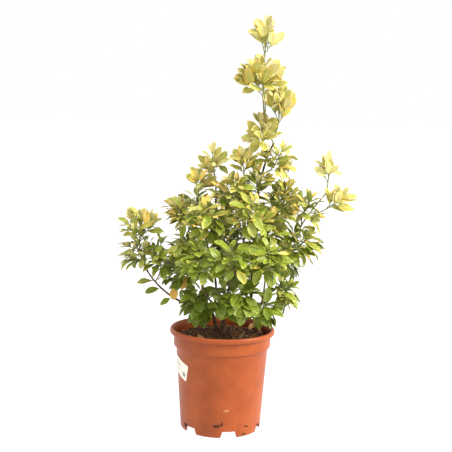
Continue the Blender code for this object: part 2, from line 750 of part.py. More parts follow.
def keep_largest(mesh):
    """Drop every loose scrap and sealed hollow, by faces that share an edge."""
    shape = bmesh.new()
    shape.from_mesh(mesh)
    unseen = set(shape.faces)
    bodies = []
    while unseen:
        body = [unseen.pop()]
        for face in body:
            for edge in face.edges:
                for other in edge.link_faces:
                    if other in unseen:
                        unseen.remove(other)
                        body.append(other)
        bodies.append(body)
    bodies.sort(key=len, reverse=True)
    scrap = [face for body in bodies[1:] for face in body]
    bmesh.ops.delete(shape, geom=scrap, context="FACES")
    shape.to_mesh(mesh)
    shape.free()


def main():
    clear_scene()
    parts = new_collection("potted_euonymus")
    guides = new_collection("cutters")
    plastic = new_material("terracotta_polypropylene", "c56035", 0.5)
    peat = new_material("peat_compost", "3a2618", 0.95)
    paper = new_material("white_paper", "e8e6e1", 0.7)
    bark = new_material("euonymus_bark", "5a4632", 0.85)
    foliage = new_material("euonymus_leaf", "7f9a35", 0.45)
    pot = build_pot(parts, guides, plastic)
    compost = build_compost(parts, peat)
    build_label(parts, paper)
    grown = build_limbs(parts, guides, bark)
    solids = []
    for thing in (pot, compost):
        mesh = baked_mesh(thing)
        solids.append(tree_of(mesh))
        bpy.data.meshes.remove(mesh)
    stems = {}
    for mass in MASSES:
        stems[mass.name] = main_shoot(mass, grown, stems, guides)
    for mass in MASSES:
        build_mass(mass, grown, stems, solids, parts, guides, foliage)


main()
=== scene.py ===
"""Potted variegated euonymus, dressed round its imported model.

The scene is in metres, with +Z up and the middle of the pot's underside at the origin. Sizes of
pot, label, compost and plant are named in millimetres, and carry MM where they are turned into
metres at once. Sizes of the studio, camera and shaders are metres. The limbs and masses repeat
the part's own tables, seeds and rule of growth, carried to finer twigs and leaves of life size.
"""

import json
import math
import random
from collections import namedtuple

import bmesh
import bpy
from mathutils import Matrix, Vector, noise
from mathutils.bvhtree import BVHTree

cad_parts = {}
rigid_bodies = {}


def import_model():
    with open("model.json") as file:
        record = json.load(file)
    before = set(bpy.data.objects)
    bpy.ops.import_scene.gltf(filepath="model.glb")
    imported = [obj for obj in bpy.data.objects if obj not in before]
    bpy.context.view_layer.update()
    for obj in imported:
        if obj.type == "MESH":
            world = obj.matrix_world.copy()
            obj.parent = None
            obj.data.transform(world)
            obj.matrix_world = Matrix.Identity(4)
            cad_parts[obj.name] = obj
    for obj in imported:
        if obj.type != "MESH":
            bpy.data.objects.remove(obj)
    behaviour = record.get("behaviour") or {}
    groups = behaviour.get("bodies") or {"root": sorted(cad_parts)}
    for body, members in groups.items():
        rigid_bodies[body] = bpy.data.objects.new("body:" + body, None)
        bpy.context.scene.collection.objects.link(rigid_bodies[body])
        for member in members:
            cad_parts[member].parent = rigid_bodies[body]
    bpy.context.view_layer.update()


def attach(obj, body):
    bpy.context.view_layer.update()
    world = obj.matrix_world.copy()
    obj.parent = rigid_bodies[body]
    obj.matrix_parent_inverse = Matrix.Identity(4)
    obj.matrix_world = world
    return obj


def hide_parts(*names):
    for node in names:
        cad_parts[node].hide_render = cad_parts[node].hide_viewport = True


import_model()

MM = 0.001
UP = Vector((0.0, 0.0, 1.0))
GOLDEN_ANGLE = math.radians(137.5)
# a direction whose part square to another is shorter than this is taken as parallel to it
PARALLEL = 0.1
FULL_TURN = 2 * math.pi

# ---- pot
POT_HEIGHT = 184.4
RIM_RADIUS = 95.0
RIM_LIP = 9.0
COLLAR_RADIUS = 88.3
COLLAR_DEPTH = 31.5
BODY_RADIUS = 83.1
BODY_TOP = 149.0
BASE_RADIUS = 72.5
WALL = 1.5
RIM_WIDTH = 6.3
RIM_ROUND = 2.0
LIP_ROUND = 1.2
COLLAR_DRAFT = 0.7
FLOOR_UNDERSIDE = 9.5
FLOOR_TOP = 11.2
FOOT_ROUND = 1.8
FOOT_WIDTH = 3.6
SKIRT_DEPTH = 3.0
CENTRE_PAD = 20.5
PAD_FLOOR = 1.8
PAD_DRAFT = 1.0
CORNER_ROUND = 1.6
SOIL_TOP = 168.4
TURN_STEPS = 144
CORNER_STEPS = 4
POT_SHARP = 32
FEET = 6
NOTCH_WIDTH = 30.5
NOTCH_TAPER = 3.6
NOTCH_HEIGHT = 12.2
NOTCH_BELOW = 5.0
NOTCH_OUTSIDE = 6.0
NOTCH_DEPTH = 18.0
FIRST_NOTCH = math.radians(-90 + 12.4)

# ---- label
LABEL_LENGTH = 60.0
LABEL_HEIGHT = 31.0
LABEL_THICKNESS = 0.25
LABEL_RIGHT_EDGE = math.radians(-90 - 48)
LABEL_MIDDLE = 118.0
LABEL_TILT = math.radians(15)

# ---- growth
MAIN_TWIG = (1.25, 0.85)
SIDE_TWIG = (0.8, 0.55)
SPUR_TWIG = (0.6, 0.45)
TWIG_SIDES = 6
TWIG_PROBE_SIDES = 3
# radii that a main shoot keeps free, as thick as the part's own
STEM_ROOM = (1.6, 1.15)
LIMB_CLEARANCE = 0.7
SPACE_SLACK = 1.1
SPACE_MARGIN = 4.0
STEM_POINTS = 9
SIDE_POINTS = 7
SPUR_POINTS = 5
STEM_TRIES = 12
STEM_STEP_BACK = 0.02
STEM_OUTWARD = 0.9
STEM_OUTWARD_STEP = 0.15
STEM_INWARD = 0.7
LEAD_RISE = 0.55
SHOOT_PULLS = (0.35, 0.3)
SHOOT_RISE = 0.5
SHORTEST_SHOOT = 0.2
LEAF_OVERHANG = 0.62
# how many side shoots a mass has here for each one of the part's, and one more
SHOOTS_FOR_ONE = 2
FIRST_SHOOT = 0.22
SHOOT_STRETCH = 0.68
TURN_SPREAD = 0.3
LOWEST_ANGLE = 118
ANGLE_RANGE = 78
ANGLE_SPREAD = 12
SHORT_OF_EDGE = (0.9, 1.15)
SIDE_LEAN = 0.35
SIDE_DROOP = 0.1
LEAST_FORKING = 24 * MM
FORK_AT = (0.3, 0.5)
SPUR_REACH = (0.45, 0.65)
SPUR_LEAN = 0.7
SPUR_RISE = (0.1, 0.6)
# leaf length that shoots leave room for at their ends
LEAF_LENGTH = 31.0
# from the shaded foot of the crown to its golden top: how light a mass is, which is partly its
# golden young growth and partly painted light, then its leaves' length, their width over their
# length, and how pointed they are
LEAF_FORMS = (
    (0.0, 34.0, 0.66, 0.56),
    (0.25, 27.5, 0.58, 0.60),
    (0.6, 27.5, 0.47, 0.70),
    (0.8, 29.0, 0.52, 0.66),
    (0.9, 33.0, 0.58, 0.60),
    (1.0, 36.0, 0.62, 0.55),
)
LEAF_THICKNESS = 0.45
# step between two pairs of leaves, as a share of the mass's usual leaf length
PAIR_SPACING = 0.4
LEAF_TRIES = 10

Limb = namedtuple("Limb", "name parent where tip foot end leaves_at ends_at")
Mass = namedtuple("Mass", "name limb where centre reach shoots seed light")

LIMBS = [Limb(*row) for row in (
    ("stem_middle", None, (1, 25), (2, 18, 243), 4.7, 3.4, 90, 88),
    ("stem_left", None, (-12, 40), (-24, 32, 214), 3.6, 2.8, 90, 70),
    ("stem_right", None, (66, 22), (51, 20, 233), 4.2, 3.2, 90, 75),
    ("bough_peak", "stem_middle", 1.0, (-18, 12, 442), 2.8, 1.3, 75, 88),
    ("bough_middle_right", "stem_middle", 0.9, (36, -50, 362), 2.5, 1.5, 50, 70),
    ("bough_inner", "stem_right", 0.85, (16, -20, 313), 2.6, 1.6, 50, 60),
    ("bough_left", "stem_left", 0.8, (-50, 6, 418), 2.4, 1.3, 40, 85),
    ("bough_far_left", "stem_left", 1.0, (-148, -5, 305), 2.3, 1.3, -2, 66),
    ("bough_front", "stem_middle", 0.75, (10, -84, 288), 2.3, 1.4, 20, 70),
    ("bough_front_left", "stem_middle", 0.6, (-38, -74, 286), 2.2, 1.4, 25, 70),
    ("bough_front_right", "stem_right", 0.5, (72, -74, 288), 2.3, 1.4, 25, 70),
    ("leader", "stem_right", 1.0, (83, 0, 520), 3.1, 1.6, 85, 62),
    ("leader_tip", "leader", 1.0, (62, 2, 612), 1.5, 1.1, 60, 90),
    ("bough_right", "stem_right", 0.65, (120, -5, 346), 2.5, 1.6, 50, 50),
    ("bough_right_spray", "bough_right", 1.0, (177, -3, 431), 1.5, 1.1, 62, 50),
    ("bough_back", "stem_middle", 0.5, (18, 95, 338), 2.3, 1.4, 35, 75),
    ("bough_back_left", "stem_left", 0.6, (-56, 84, 336), 2.2, 1.4, 40, 75),
    ("bough_back_right", "stem_right", 0.35, (97, 80, 342), 2.3, 1.4, 40, 75),
)]

# name, limb that carries it, how far along it, middle and half sizes of its space, number of
# side shoots in the part, seed, and how light its leaves are, from 0 to 1: paler towards the top
# for golden young growth and as painted light from above, darker towards the foot
MASSES = [Mass(*row) for row in (
    ("spire_top", "leader_tip", 1.0, (64, 0, 706), (28, 25, 32), 3, 1, 0.97),
    ("spire_middle", "leader_tip", 0.55, (58, -12, 634), (41, 36, 37), 5, 2, 0.9),
    ("spire_right", "leader_tip", 0.1, (87, -8, 588), (29, 30, 46), 4, 3, 0.94),
    ("spire_lower", "leader", 0.93, (65, 3, 531), (36, 36, 41), 4, 4, 0.84),
    ("spire_foot", "leader", 0.8, (88, 0, 489), (37, 38, 38), 5, 5, 0.62),
    ("small_shoot", "leader", 0.6, (30, -10, 484), (23, 24, 29), 2, 6, 0.74),
    ("leader_inner", "leader", 0.5, (56, -16, 457), (27, 31, 29), 3, 38, 0.58),
    ("peak", "bough_peak", 1.0, (-23, 8, 477), (26, 28, 39), 3, 7, 0.8),
    ("shoulder", "bough_left", 1.0, (-44, 5, 447), (28, 34, 34), 4, 8, 0.76),
    ("top_centre", "bough_peak", 0.65, (12, -25, 436), (38, 38, 34), 4, 9, 0.54),
    ("left_group", "bough_left", 0.8, (-80, 0, 396), (32, 36, 27), 4, 10, 0.6),
    ("far_left_top", "bough_far_left", 1.0, (-150, -5, 372), (44, 32, 28), 4, 11, 0.58),
    ("far_left_middle", "bough_far_left", 0.85, (-154, 5, 316), (37, 34, 38), 4, 12, 0.45),
    ("far_left_inner", "bough_far_left", 0.72, (-116, -12, 313), (28, 34, 45), 3, 13, 0.36),
    ("left_low", "bough_left", 0.3, (-82, 0, 284), (32, 36, 30), 3, 14, 0.16),
    ("left_middle", "bough_left", 0.55, (-68, -25, 336), (34, 40, 37), 4, 15, 0.34),
    ("front_left", "bough_front_left", 1.0, (-44, -85, 318), (36, 40, 39), 4, 16, 0.25),
    ("front_centre", "bough_front", 1.0, (12, -95, 321), (39, 40, 39), 4, 17, 0.26),
    ("front_right", "bough_front_right", 1.0, (74, -85, 321), (39, 40, 39), 4, 18, 0.28),
    ("front_left_high", "bough_peak", 0.5, (-31, -58, 392), (40, 38, 40), 4, 19, 0.45),
    ("front_right_high", "bough_middle_right", 1.0, (43, -64, 395), (42, 38, 40), 4, 20, 0.47),
    ("low_front", "bough_front", 0.4, (23, -66, 253), (47, 38, 40), 4, 21, 0.1),
    ("low_left", "stem_left", 0.7, (-44, -30, 237), (34, 36, 40), 3, 22, 0.1),
    ("low_right", "bough_front_right", 0.4, (72, -38, 229), (32, 36, 33), 3, 23, 0.14),
    ("right_low", "bough_right", 0.35, (109, 0, 256), (31, 36, 40), 4, 24, 0.32),
    ("right_middle", "bough_right", 0.85, (137, -15, 343), (42, 38, 35), 5, 25, 0.46),
    ("right_upper", "bough_right_spray", 0.35, (146, -8, 400), (35, 34, 40), 4, 26, 0.6),
    ("right_top", "leader", 0.5, (104, 5, 428), (32, 36, 32), 4, 27, 0.58),
    ("spray_upper", "bough_right_spray", 1.0, (181, 0, 467), (23, 24, 36), 3, 28, 0.96),
    ("spray_lower", "bough_right_spray", 0.6, (200, -11, 424), (30, 23, 23), 2, 29, 0.8),
    ("centre", "bough_inner", 1.0, (13, -15, 351), (43, 40, 40), 5, 30, 0.36),
    ("centre_right", "leader", 0.3, (77, -15, 368), (36, 40, 40), 4, 31, 0.4),
    ("back_left_low", "bough_back_left", 0.7, (-65, 100, 292), (42, 38, 45), 3, 32, 0.16),
    ("back_left_high", "bough_back_left", 1.0, (-55, 80, 385), (45, 42, 45), 4, 33, 0.5),
    ("back_centre_low", "bough_back", 0.7, (21, 115, 284), (46, 38, 46), 3, 34, 0.16),
    ("back_centre_high", "bough_back", 1.0, (20, 85, 392), (48, 44, 48), 4, 35, 0.5),
    ("back_right_low", "bough_back_right", 0.7, (107, 98, 296), (45, 38, 45), 3, 36, 0.16),
    ("back_right_high", "bough_back_right", 1.0, (95, 75, 390), (45, 42, 45), 4, 37, 0.5),
)]

# Each piece of foliage in the scene and the masses that it stands for
SPRAYS = {
    "spire": ("spire_top", "spire_middle", "spire_right", "spire_lower", "spire_foot",
              "small_shoot", "leader_inner"),
    "crown_top": ("peak", "shoulder", "top_centre", "front_left_high", "front_right_high"),
    "crown_left": ("left_group", "far_left_top", "far_left_middle", "far_left_inner",
                   "left_low", "left_middle"),
    "crown_front": ("front_left", "front_centre", "front_right", "low_front", "low_left",
                    "low_right"),
    "crown_right": ("right_low", "right_middle", "right_upper", "right_top", "spray_upper",
                    "spray_lower"),
    "crown_middle": ("centre", "centre_right", "back_centre_low", "back_centre_high"),
    "crown_back": ("back_left_low", "back_left_high", "back_right_low", "back_right_high"),
}


# ---- finishes
def linear(hex_colour):
    """sRGB hex to linear red, green, blue, alpha."""
    values = [int(hex_colour[i:i + 2], 16) / 255 for i in (0, 2, 4)]
    return [v / 12.92 if v <= 0.04045 else ((v + 0.055) / 1.055) ** 2.4 for v in values] + [1.0]


def finish(name, hex_colour, **settings):
    """A material with plain values on its shader's own sockets."""
    made = bpy.data.materials.new(name)
    made.use_nodes = True
    shader = made.node_tree.nodes["Principled BSDF"]
    shader.inputs["Base Color"].default_value = linear(hex_colour)
    made.diffuse_color = linear(hex_colour)
    for socket, value in settings.items():
        shader.inputs[socket.replace("_", " ")].default_value = value
    return made


def add(tree, kind, inputs=None, out=0, stops=(), **settings):
    """One node with its settings and colour stops, its inputs set or linked. Gives one output."""
    made = tree.nodes.new("ShaderNode" + kind)
    for key, value in settings.items():
        setattr(made, key, value)
    for key, value in (inputs or {}).items():
        if isinstance(value, bpy.types.NodeSocket):
            tree.links.new(value, made.inputs[key])
        else:
            made.inputs[key].default_value = value
    while stops and len(made.color_ramp.elements) < len(stops):
        made.color_ramp.elements.new(0.5)
    for i, (place, hex_colour) in enumerate(stops):
        made.color_ramp.elements[i].position = place
        made.color_ramp.elements[i].color = linear(hex_colour)
    return made.outputs[out]


def per_metre(size_mm):
    """Scale of a pattern whose features are that many millimetres apart."""
    return 1.0 / (size_mm * MM)


def start_nodes(made):
    """A finish's node tree, and the place on the object that its patterns follow."""
    return made.node_tree, add(made.node_tree, "TexCoord", out="Object")


def wired(made, **sockets):
    """The finish, with its shader's inputs taken from other nodes."""
    shader = made.node_tree.nodes["Principled BSDF"]
    for name, socket in sockets.items():
        made.node_tree.links.new(socket, shader.inputs[name.replace("_", " ")])
    return made


# middle of a small pale patch on the front of the wall: a painted highlight
PAINTED_HIGHLIGHT_PLACE = (0.0105, -0.0762, 0.0514)
# one over the painted highlight's half sizes in metres
PAINTED_HIGHLIGHT_SHARPNESS = (140.0, 60.0, 330.0)
# heights on the wall where the bloom of peat water ends and where it is strongest
STAIN_HEIGHTS = (0.034, 0.004)


def moulded_polypropylene():
    """Injection-moulded polypropylene: an even brick red with a soft satin gloss.

    The eye sees faint flow clouds in the colour, a dull bloom of dried peat water low on the
    wall, one small painted highlight on its front, and a skin that is not quite flat.
    """
    made = finish("terracotta_polypropylene", "9a4718", Roughness=0.42, IOR=1.49,
                  Specular_IOR_Level=0.35)
    tree, where = start_nodes(made)
    clouds = add(tree, "TexNoise", {"Vector": where, "Scale": per_metre(38), "Detail": 3.0,
                                    "Roughness": 0.55}, "Fac")
    grit = add(tree, "TexNoise", {"Vector": where, "Scale": per_metre(5), "Detail": 4.0,
                                  "Roughness": 0.65}, "Fac")
    body = add(tree, "ValToRGB", {"Fac": clouds}, "Color",
               ((0.3, "914115"), (0.52, "9a4718"), (0.75, "a5501e")))
    height = add(tree, "SeparateXYZ", {"Vector": where}, "Z")
    low = add(tree, "MapRange", {"Value": height, "From Min": STAIN_HEIGHTS[0],
                                 "From Max": STAIN_HEIGHTS[1], "To Min": 0.0, "To Max": 1.0})
    stain = add(tree, "MapRange", {"Value": grit, "From Min": 0.52, "From Max": 0.68,
                                   "To Min": 0.0, "To Max": 0.5})
    dirt = add(tree, "Math", {0: low, 1: stain}, operation="MULTIPLY")
    dirty = add(tree, "Mix", {"Factor": dirt, "A": body, "B": linear("6d3a20")}, "Result",
                data_type="RGBA")
    # a small pale patch on the front of the wall, a painted highlight
    offset = add(tree, "VectorMath", {0: where, 1: PAINTED_HIGHLIGHT_PLACE}, operation="SUBTRACT")
    scaled = add(tree, "VectorMath", {0: offset, 1: PAINTED_HIGHLIGHT_SHARPNESS}, operation="MULTIPLY")
    away = add(tree, "VectorMath", {0: scaled}, "Value", operation="LENGTH")
    painted_highlight = add(tree, "MapRange", {"Value": away, "From Min": 1.0, "From Max": 0.2,
                                   "To Min": 0.0, "To Max": 0.42})
    marked = add(tree, "Mix", {"Factor": painted_highlight, "A": dirty, "B": linear("e0a583")}, "Result",
                 data_type="RGBA")
    gloss = add(tree, "MapRange", {"Value": grit, "From Min": 0.3, "From Max": 0.7,
                                   "To Min": 0.36, "To Max": 0.5})
    skin = add(tree, "Bump", {"Height": grit, "Strength": 0.06, "Distance": 0.0004})
    return wired(made, Base_Color=marked, Roughness=gloss, Normal=skin)


def peat(name, dark, light, size_mm):
    """Damp peat-based compost: near-black brown, matt, broken by paler crumbs."""
    made = finish(name, dark, Roughness=0.95, IOR=1.4)
    tree, where = start_nodes(made)
    crumbs = add(tree, "TexNoise", {"Vector": where, "Scale": per_metre(size_mm),
                                    "Detail": 6.0, "Roughness": 0.7}, "Fac")
    colour = add(tree, "ValToRGB", {"Fac": crumbs}, "Color", ((0.35, dark), (0.7, light)))
    rough = add(tree, "Bump", {"Height": crumbs, "Strength": 0.8, "Distance": 0.001})
    return wired(made, Base_Color=colour, Normal=rough)


def label_paper():
    """Coated label paper: off-white, faintly mottled, with the sheen of a printed face."""
    made = finish("label_paper", "efe7da", Roughness=0.55, IOR=1.5)
    tree, where = start_nodes(made)
    fibres = add(tree, "TexNoise", {"Vector": where, "Scale": per_metre(3), "Detail": 5.0,
                                    "Roughness": 0.6}, "Fac")
    colour = add(tree, "ValToRGB", {"Fac": fibres}, "Color", ((0.3, "e4dac9"), (0.6, "f3ecdf")))
    return wired(made, Base_Color=colour)


def euonymus_bark(name, deep, middle, ridge):
    """Thin bark of a young shrub: corky ridges run along it, with a painted highlight on their
    crests.
    """
    made = finish(name, middle, Roughness=0.85, IOR=1.45)
    tree, where = start_nodes(made)
    drawn = add(tree, "Mapping", {"Vector": where, "Scale": (1.0, 1.0, 0.22)})
    ridges = add(tree, "TexNoise", {"Vector": drawn, "Scale": per_metre(1.6), "Detail": 5.0,
                                    "Roughness": 0.65}, "Fac")
    # the ridge tone on the crests is a painted highlight
    colour = add(tree, "ValToRGB", {"Fac": ridges}, "Color",
                 ((0.32, deep), (0.5, middle), (0.68, ridge)))
    relief = add(tree, "Bump", {"Height": ridges, "Strength": 0.7, "Distance": 0.0006})
    return wired(made, Base_Color=colour, Normal=relief)


# Waxy evergreen leaf: a cuticle over soft green, so a broad satin highlight. Each tone is one
# plain colour, and the tones are dealt out by spray, by age and by place on the leaf. The pale
# tones that go to the lighter masses near the crown's top are partly painted light from above.
LEAF_TONES = {
    "deep_green": "5f701e",
    "leaf_green": "72831e",
    "fresh_green": "8b962a",
    "grey_green": "9a9c42",
    "olive": "b3ac50",
    "lime": "adaf48",
    "straw": "c5bd72",
    "butter": "d8c986",
    "cream": "e4daac",
    "gold": "dcbc4e",
    "amber": "daaa4a",
    "vein_green": "94a042",
    "vein_pale": "cdc67c",
    "under_green": "8c9a50",
    "under_pale": "c8c382",
    "petiole": "8f9a44",
    "dead_leaf": "e0ab4c",
    "dry_leaf": "a87f50",
}
TONE = {name: i for i, name in enumerate(LEAF_TONES)}


def leaf_finishes():
    return [finish("euonymus_leaf_" + name, colour, Roughness=0.42, IOR=1.45)
            for name, colour in LEAF_TONES.items()]


# ---- pieces
class Heap:
    """Points and faces of one kind of thing, gathered before they become one piece."""

    def __init__(self):
        self.points = []
        self.faces = []
        self.slots = []

    def add(self, points, faces, slots):
        base = len(self.points)
        self.points.extend(points)
        self.faces.extend([base + i for i in face] for face in faces)
        self.slots.extend(slots if isinstance(slots, list) else [slots] * len(faces))

    def piece(self, name, finishes, replaced=(), sharp=60):
        mesh = bpy.data.meshes.new(name)
        mesh.from_pydata(self.points, [], self.faces)
        for one in finishes:
            mesh.materials.append(one)
        mesh.polygons.foreach_set("material_index", self.slots)
        mesh.shade_smooth()
        mesh.set_sharp_from_angle(angle=math.radians(sharp))
        place_piece(name, mesh, replaced)


def put(name, data):
    made = bpy.data.objects.new(name, data)
    bpy.context.scene.collection.objects.link(made)
    return made


def place_piece(name, mesh, replaced=()):
    made = put(name, mesh)
    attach(made, "root")
    if replaced:
        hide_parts(*replaced)


def tree_of(points, faces):
    return BVHTree.FromPolygons(points, faces)


# ---- lines and tubes
def clamped(value):
    return min(max(value, 0.0), 1.0)


def share_of(value, ends):
    """How far value is from the first of two ends to the second, from 0 to 1."""
    return clamped((value - ends[0]) / (ends[1] - ends[0]))


def round_z(radius, turn, height=0.0):
    """The point at a radius and a turn about Z, at a height."""
    return Vector((radius * math.cos(turn), radius * math.sin(turn), height))


def heading(start, end, angle):
    """Direction level from start towards end, raised by an angle in degrees."""
    level = Vector((end.x - start.x, end.y - start.y, 0.0))
    if level.length < 1e-6:
        return UP.copy()
    rise = math.radians(angle)
    return level.normalized() * math.cos(rise) + UP * math.sin(rise)


def bezier(a, b, c, d, count):
    points = []
    for i in range(count):
        t = i / (count - 1)
        s = 1 - t
        points.append(a * s**3 + b * (3 * s * s * t) + c * (3 * s * t * t) + d * t**3)
    return points


def along(points, where):
    """Place and tangent at a share of a polyline's length, and which stretch it is on."""
    lengths = [(q - p).length for p, q in zip(points, points[1:])]
    left = sum(lengths) * clamped(where)
    for i, length in enumerate(lengths):
        if left <= length or i == len(lengths) - 1:
            share = min(left / length, 1.0)
            step = points[i + 1] - points[i]
            return points[i] + step * share, step.normalized(), i + share
        left -= length


def line_length(points):
    return sum((q - p).length for p, q in zip(points, points[1:]))


def tube(points, radii, sides, bumps=None):
    """Points and faces of a closed tube. bumps(place, turn) scales the radius there."""
    corners = []
    faces = []
    side = None
    for i, (point, radius) in enumerate(zip(points, radii)):
        before = points[max(i - 1, 0)]
        after = points[min(i + 1, len(points) - 1)]
        ahead = (after - before).normalized()
        side = ahead.orthogonal() if side is None else side - ahead * side.dot(ahead)
        side.normalize()
        across = ahead.cross(side)
        for k in range(sides):
            turn = FULL_TURN * k / sides
            out = side * math.cos(turn) + across * math.sin(turn)
            size = radius * (bumps(point + out * radius, i) if bumps else 1.0)
            corners.append(point + out * size)
    for i in range(len(points) - 1):
        for k in range(sides):
            n = (k + 1) % sides
            faces.append((i * sides + k, i * sides + n, (i + 1) * sides + n,
                          (i + 1) * sides + k))
    last = (len(points) - 1) * sides
    faces.append(tuple(range(sides - 1, -1, -1)))
    faces.append(tuple(range(last, last + sides)))
    return corners, faces


# ---- limbs
LIMB_POINTS = 7
LIMB_SIDES = 6
LIMB_PULL = 0.35
LEAST_OUTWARD = 0.6
SEAT_GAP = 0.4 * MM
BARK_SIDES = 14
FINE_STEP = 2.6
ROOT_FLARE = 0.55
ROOT_FLARE_HEIGHT = 9.0
NODE_SPACING = 23.0


def root_on(limb, where, towards, clearance):
    """Seat of a branch on a limb, and the direction square to the limb's skin there."""
    place, tangent, share = along(limb["points"], where)
    if where >= 1.0:
        return place + tangent * clearance, tangent
    stretch = min(int(share), len(limb["radii"]) - 2)
    low, high = limb["radii"][stretch:stretch + 2]
    radius = low + (high - low) * (share - stretch)
    side = towards - place
    side -= tangent * side.dot(tangent)
    side.normalize()
    return place + side * (radius + clearance), side


def limb_shape(limb, grown):
    """A limb's line and radii, coarse as in the part and fine for its bark."""
    tip = Vector(limb.tip) * MM
    if limb.parent is None:
        start = Vector((*limb.where, SOIL_TOP)) * MM
        normal = UP
    else:
        start, normal = root_on(grown[limb.parent], limb.where, tip, SEAT_GAP)
    reach = (tip - start).length * LIMB_PULL
    leaving = heading(start, tip, limb.leaves_at)
    if limb.parent and limb.where < 1.0:
        short = max(0.0, LEAST_OUTWARD - leaving.dot(normal))
        leaving = (leaving + normal * short).normalized()
    arriving = heading(start, tip, limb.ends_at)
    knots = (start, start + leaving * reach, tip - arriving * reach, tip)
    shape = {"normal": normal, "limb": limb}
    fine = max(LIMB_POINTS, round((tip - start).length / (FINE_STEP * MM)))
    for name, count in (("", LIMB_POINTS), ("fine_", fine)):
        points = bezier(*knots, count)
        total = line_length(points)
        radii = []
        gone = 0.0
        for i, point in enumerate(points):
            gone += (point - points[i - 1]).length if i else 0.0
            radius = limb.foot + (limb.end - limb.foot) * gone / total
            if limb.parent is None:
                radius *= 1.0 + ROOT_FLARE * math.exp(-gone / (ROOT_FLARE_HEIGHT * MM))
            radii.append(radius * MM)
        shape[name + "points"] = points
        shape[name + "radii"] = radii
    return shape


def grow_limbs():
    grown = {}
    for limb in LIMBS:
        shape = limb_shape(limb, grown)
        wider = [radius + LIMB_CLEARANCE * MM for radius in shape["radii"]]
        shape["body"] = tube(shape["points"], wider, LIMB_SIDES)
        shape["room"] = tree_of(*shape["body"])
        grown[limb.name] = shape
    return grown


RIDGES_PER_METRE = 520
LUMPS_PER_METRE = 110
RIDGE_STRETCH = 0.25
RIDGE_RELIEF = 0.1
LUMP_RELIEF = 0.07
SCAR_RELIEF = 0.16
SCAR_WIDTH = 1.8
FULL_RELIEF_RADIUS = 4.0
MOST_RELIEF = 1.3


def bark_bumps(limb, step):
    """Corky ridges along a limb, and a slight swelling at every pair of old leaf scars."""
    coarse = min(limb.foot / FULL_RELIEF_RADIUS + 0.5, MOST_RELIEF)

    def bumps(place, index):
        run = index * step
        ridge = noise.noise(Vector((place.x, place.y, place.z * RIDGE_STRETCH))
                            * RIDGES_PER_METRE)
        lump = noise.noise(place * LUMPS_PER_METRE)
        scar = math.exp(-((run % NODE_SPACING - NODE_SPACING / 2) / SCAR_WIDTH) ** 2)
        return 1.0 + (RIDGE_RELIEF * ridge + LUMP_RELIEF * lump) * coarse + SCAR_RELIEF * scar

    return bumps


# how far each kind of foot is sunk in what carries it, and how much wider it is there
ROOT_SINK = (7 * MM, 1.25)
TIP_SINK = (2 * MM, 1.02)
COLLAR_WIDENING = 1.1
COLLAR_ROWS = 4
COLLAR_SWELL = 0.45
COLLAR_FADE = 1.4
YOUNG_LIMBS = ("leader_tip", "bough_right_spray")
STUB_POINTS = 5
STUB_SIDES = 10
# middle, direction, radius and length of old shoots that were pruned back
CUT_STUBS = (
    ((-45, 14, 197), (-0.45, -0.2, 0.87), 2.2, 13.0),
)


def build_bark(grown, finishes):
    """Stems and boughs in one piece, each rooted in what carries it, with real bark relief."""
    heap = Heap()
    for name, shape in grown.items():
        limb = shape["limb"]
        points = list(shape["fine_points"])
        radii = list(shape["fine_radii"])
        first = (points[1] - points[0]).normalized()
        if limb.parent is None or limb.where >= 1.0:
            depth, widening = TIP_SINK if limb.parent else ROOT_SINK
            sunk = first * depth
        else:
            sunk = shape["normal"] * radii[0]
            widening = COLLAR_WIDENING
            for i in range(min(COLLAR_ROWS, len(radii))):
                radii[i] *= 1.0 + COLLAR_SWELL * math.exp(-i / COLLAR_FADE)
        points.insert(0, points[0] - sunk)
        radii.insert(0, radii[0] * widening)
        body = tube(points, radii, BARK_SIDES, bark_bumps(limb, FINE_STEP))
        heap.add(*body, 1 if name in YOUNG_LIMBS else 0)
    for place, ahead, radius, length in CUT_STUBS:
        stub = Vector(ahead) * length * MM
        points = [Vector(place) * MM + stub * k / (STUB_POINTS - 1) for k in range(STUB_POINTS)]
        heap.add(*tube(points, [radius * MM] * STUB_POINTS, STUB_SIDES), 1)
    heap.piece("stems_and_boughs", finishes, tuple(grown), sharp=50)


# ---- foliage
class Taken:
    """Bodies that are already placed, filed by the cubes of space that each one reaches."""

    CUBE = 40 * MM

    def __init__(self):
        self.cubes = {}

    def cells(self, corners):
        spans = []
        for axis in range(3):
            values = [corner[axis] for corner in corners]
            low = math.floor(min(values) / self.CUBE)
            high = math.floor(max(values) / self.CUBE)
            spans.append(range(low, high + 1))
        return [(x, y, z) for x in spans[0] for y in spans[1] for z in spans[2]]

    def add(self, corners, faces, owner):
        body = tree_of(corners, faces)
        for cell in self.cells(corners):
            self.cubes.setdefault(cell, []).append((owner, body))

    def hits(self, corners, faces, owner):
        body = tree_of(corners, faces)
        for cell in self.cells(corners):
            for other, taken in self.cubes.get(cell, ()):
                if other != owner and body.overlap(taken):
                    return True
        return False


class Space:
    """The space that one mass keeps to: its own reach, nearer to it than to any other."""

    def __init__(self, mass):
        self.centre = Vector(mass.centre) * MM
        self.reach = Vector(mass.reach) * MM
        self.walls = []
        own = self.size(mass)
        for other in MASSES:
            if other.name == mass.name:
                continue
            away = Vector(other.centre) * MM - self.centre
            apart = away.length
            middle = (apart * apart + own**2 - self.size(other)**2) / (2 * apart)
            self.walls.append((away / apart, middle + SPACE_MARGIN * MM))

    @staticmethod
    def size(mass):
        return sum(mass.reach) / 3 * MM

    def holds(self, point):
        offset = point - self.centre
        spread = sum((offset[i] / self.reach[i]) ** 2 for i in range(3))
        if spread > SPACE_SLACK * SPACE_SLACK:
            return False
        return all(offset.dot(away) < limit for away, limit in self.walls)


def shoot_line(start, leaving, end, count):
    """A shoot's points: off at its own angle, then bending up towards its end."""
    length = (end - start).length
    aim = (end - start).normalized()
    arriving = (aim + UP * SHOOT_RISE).normalized()
    return bezier(start, start + leaving * length * SHOOT_PULLS[0],
                  end - arriving * length * SHOOT_PULLS[1], end, count)


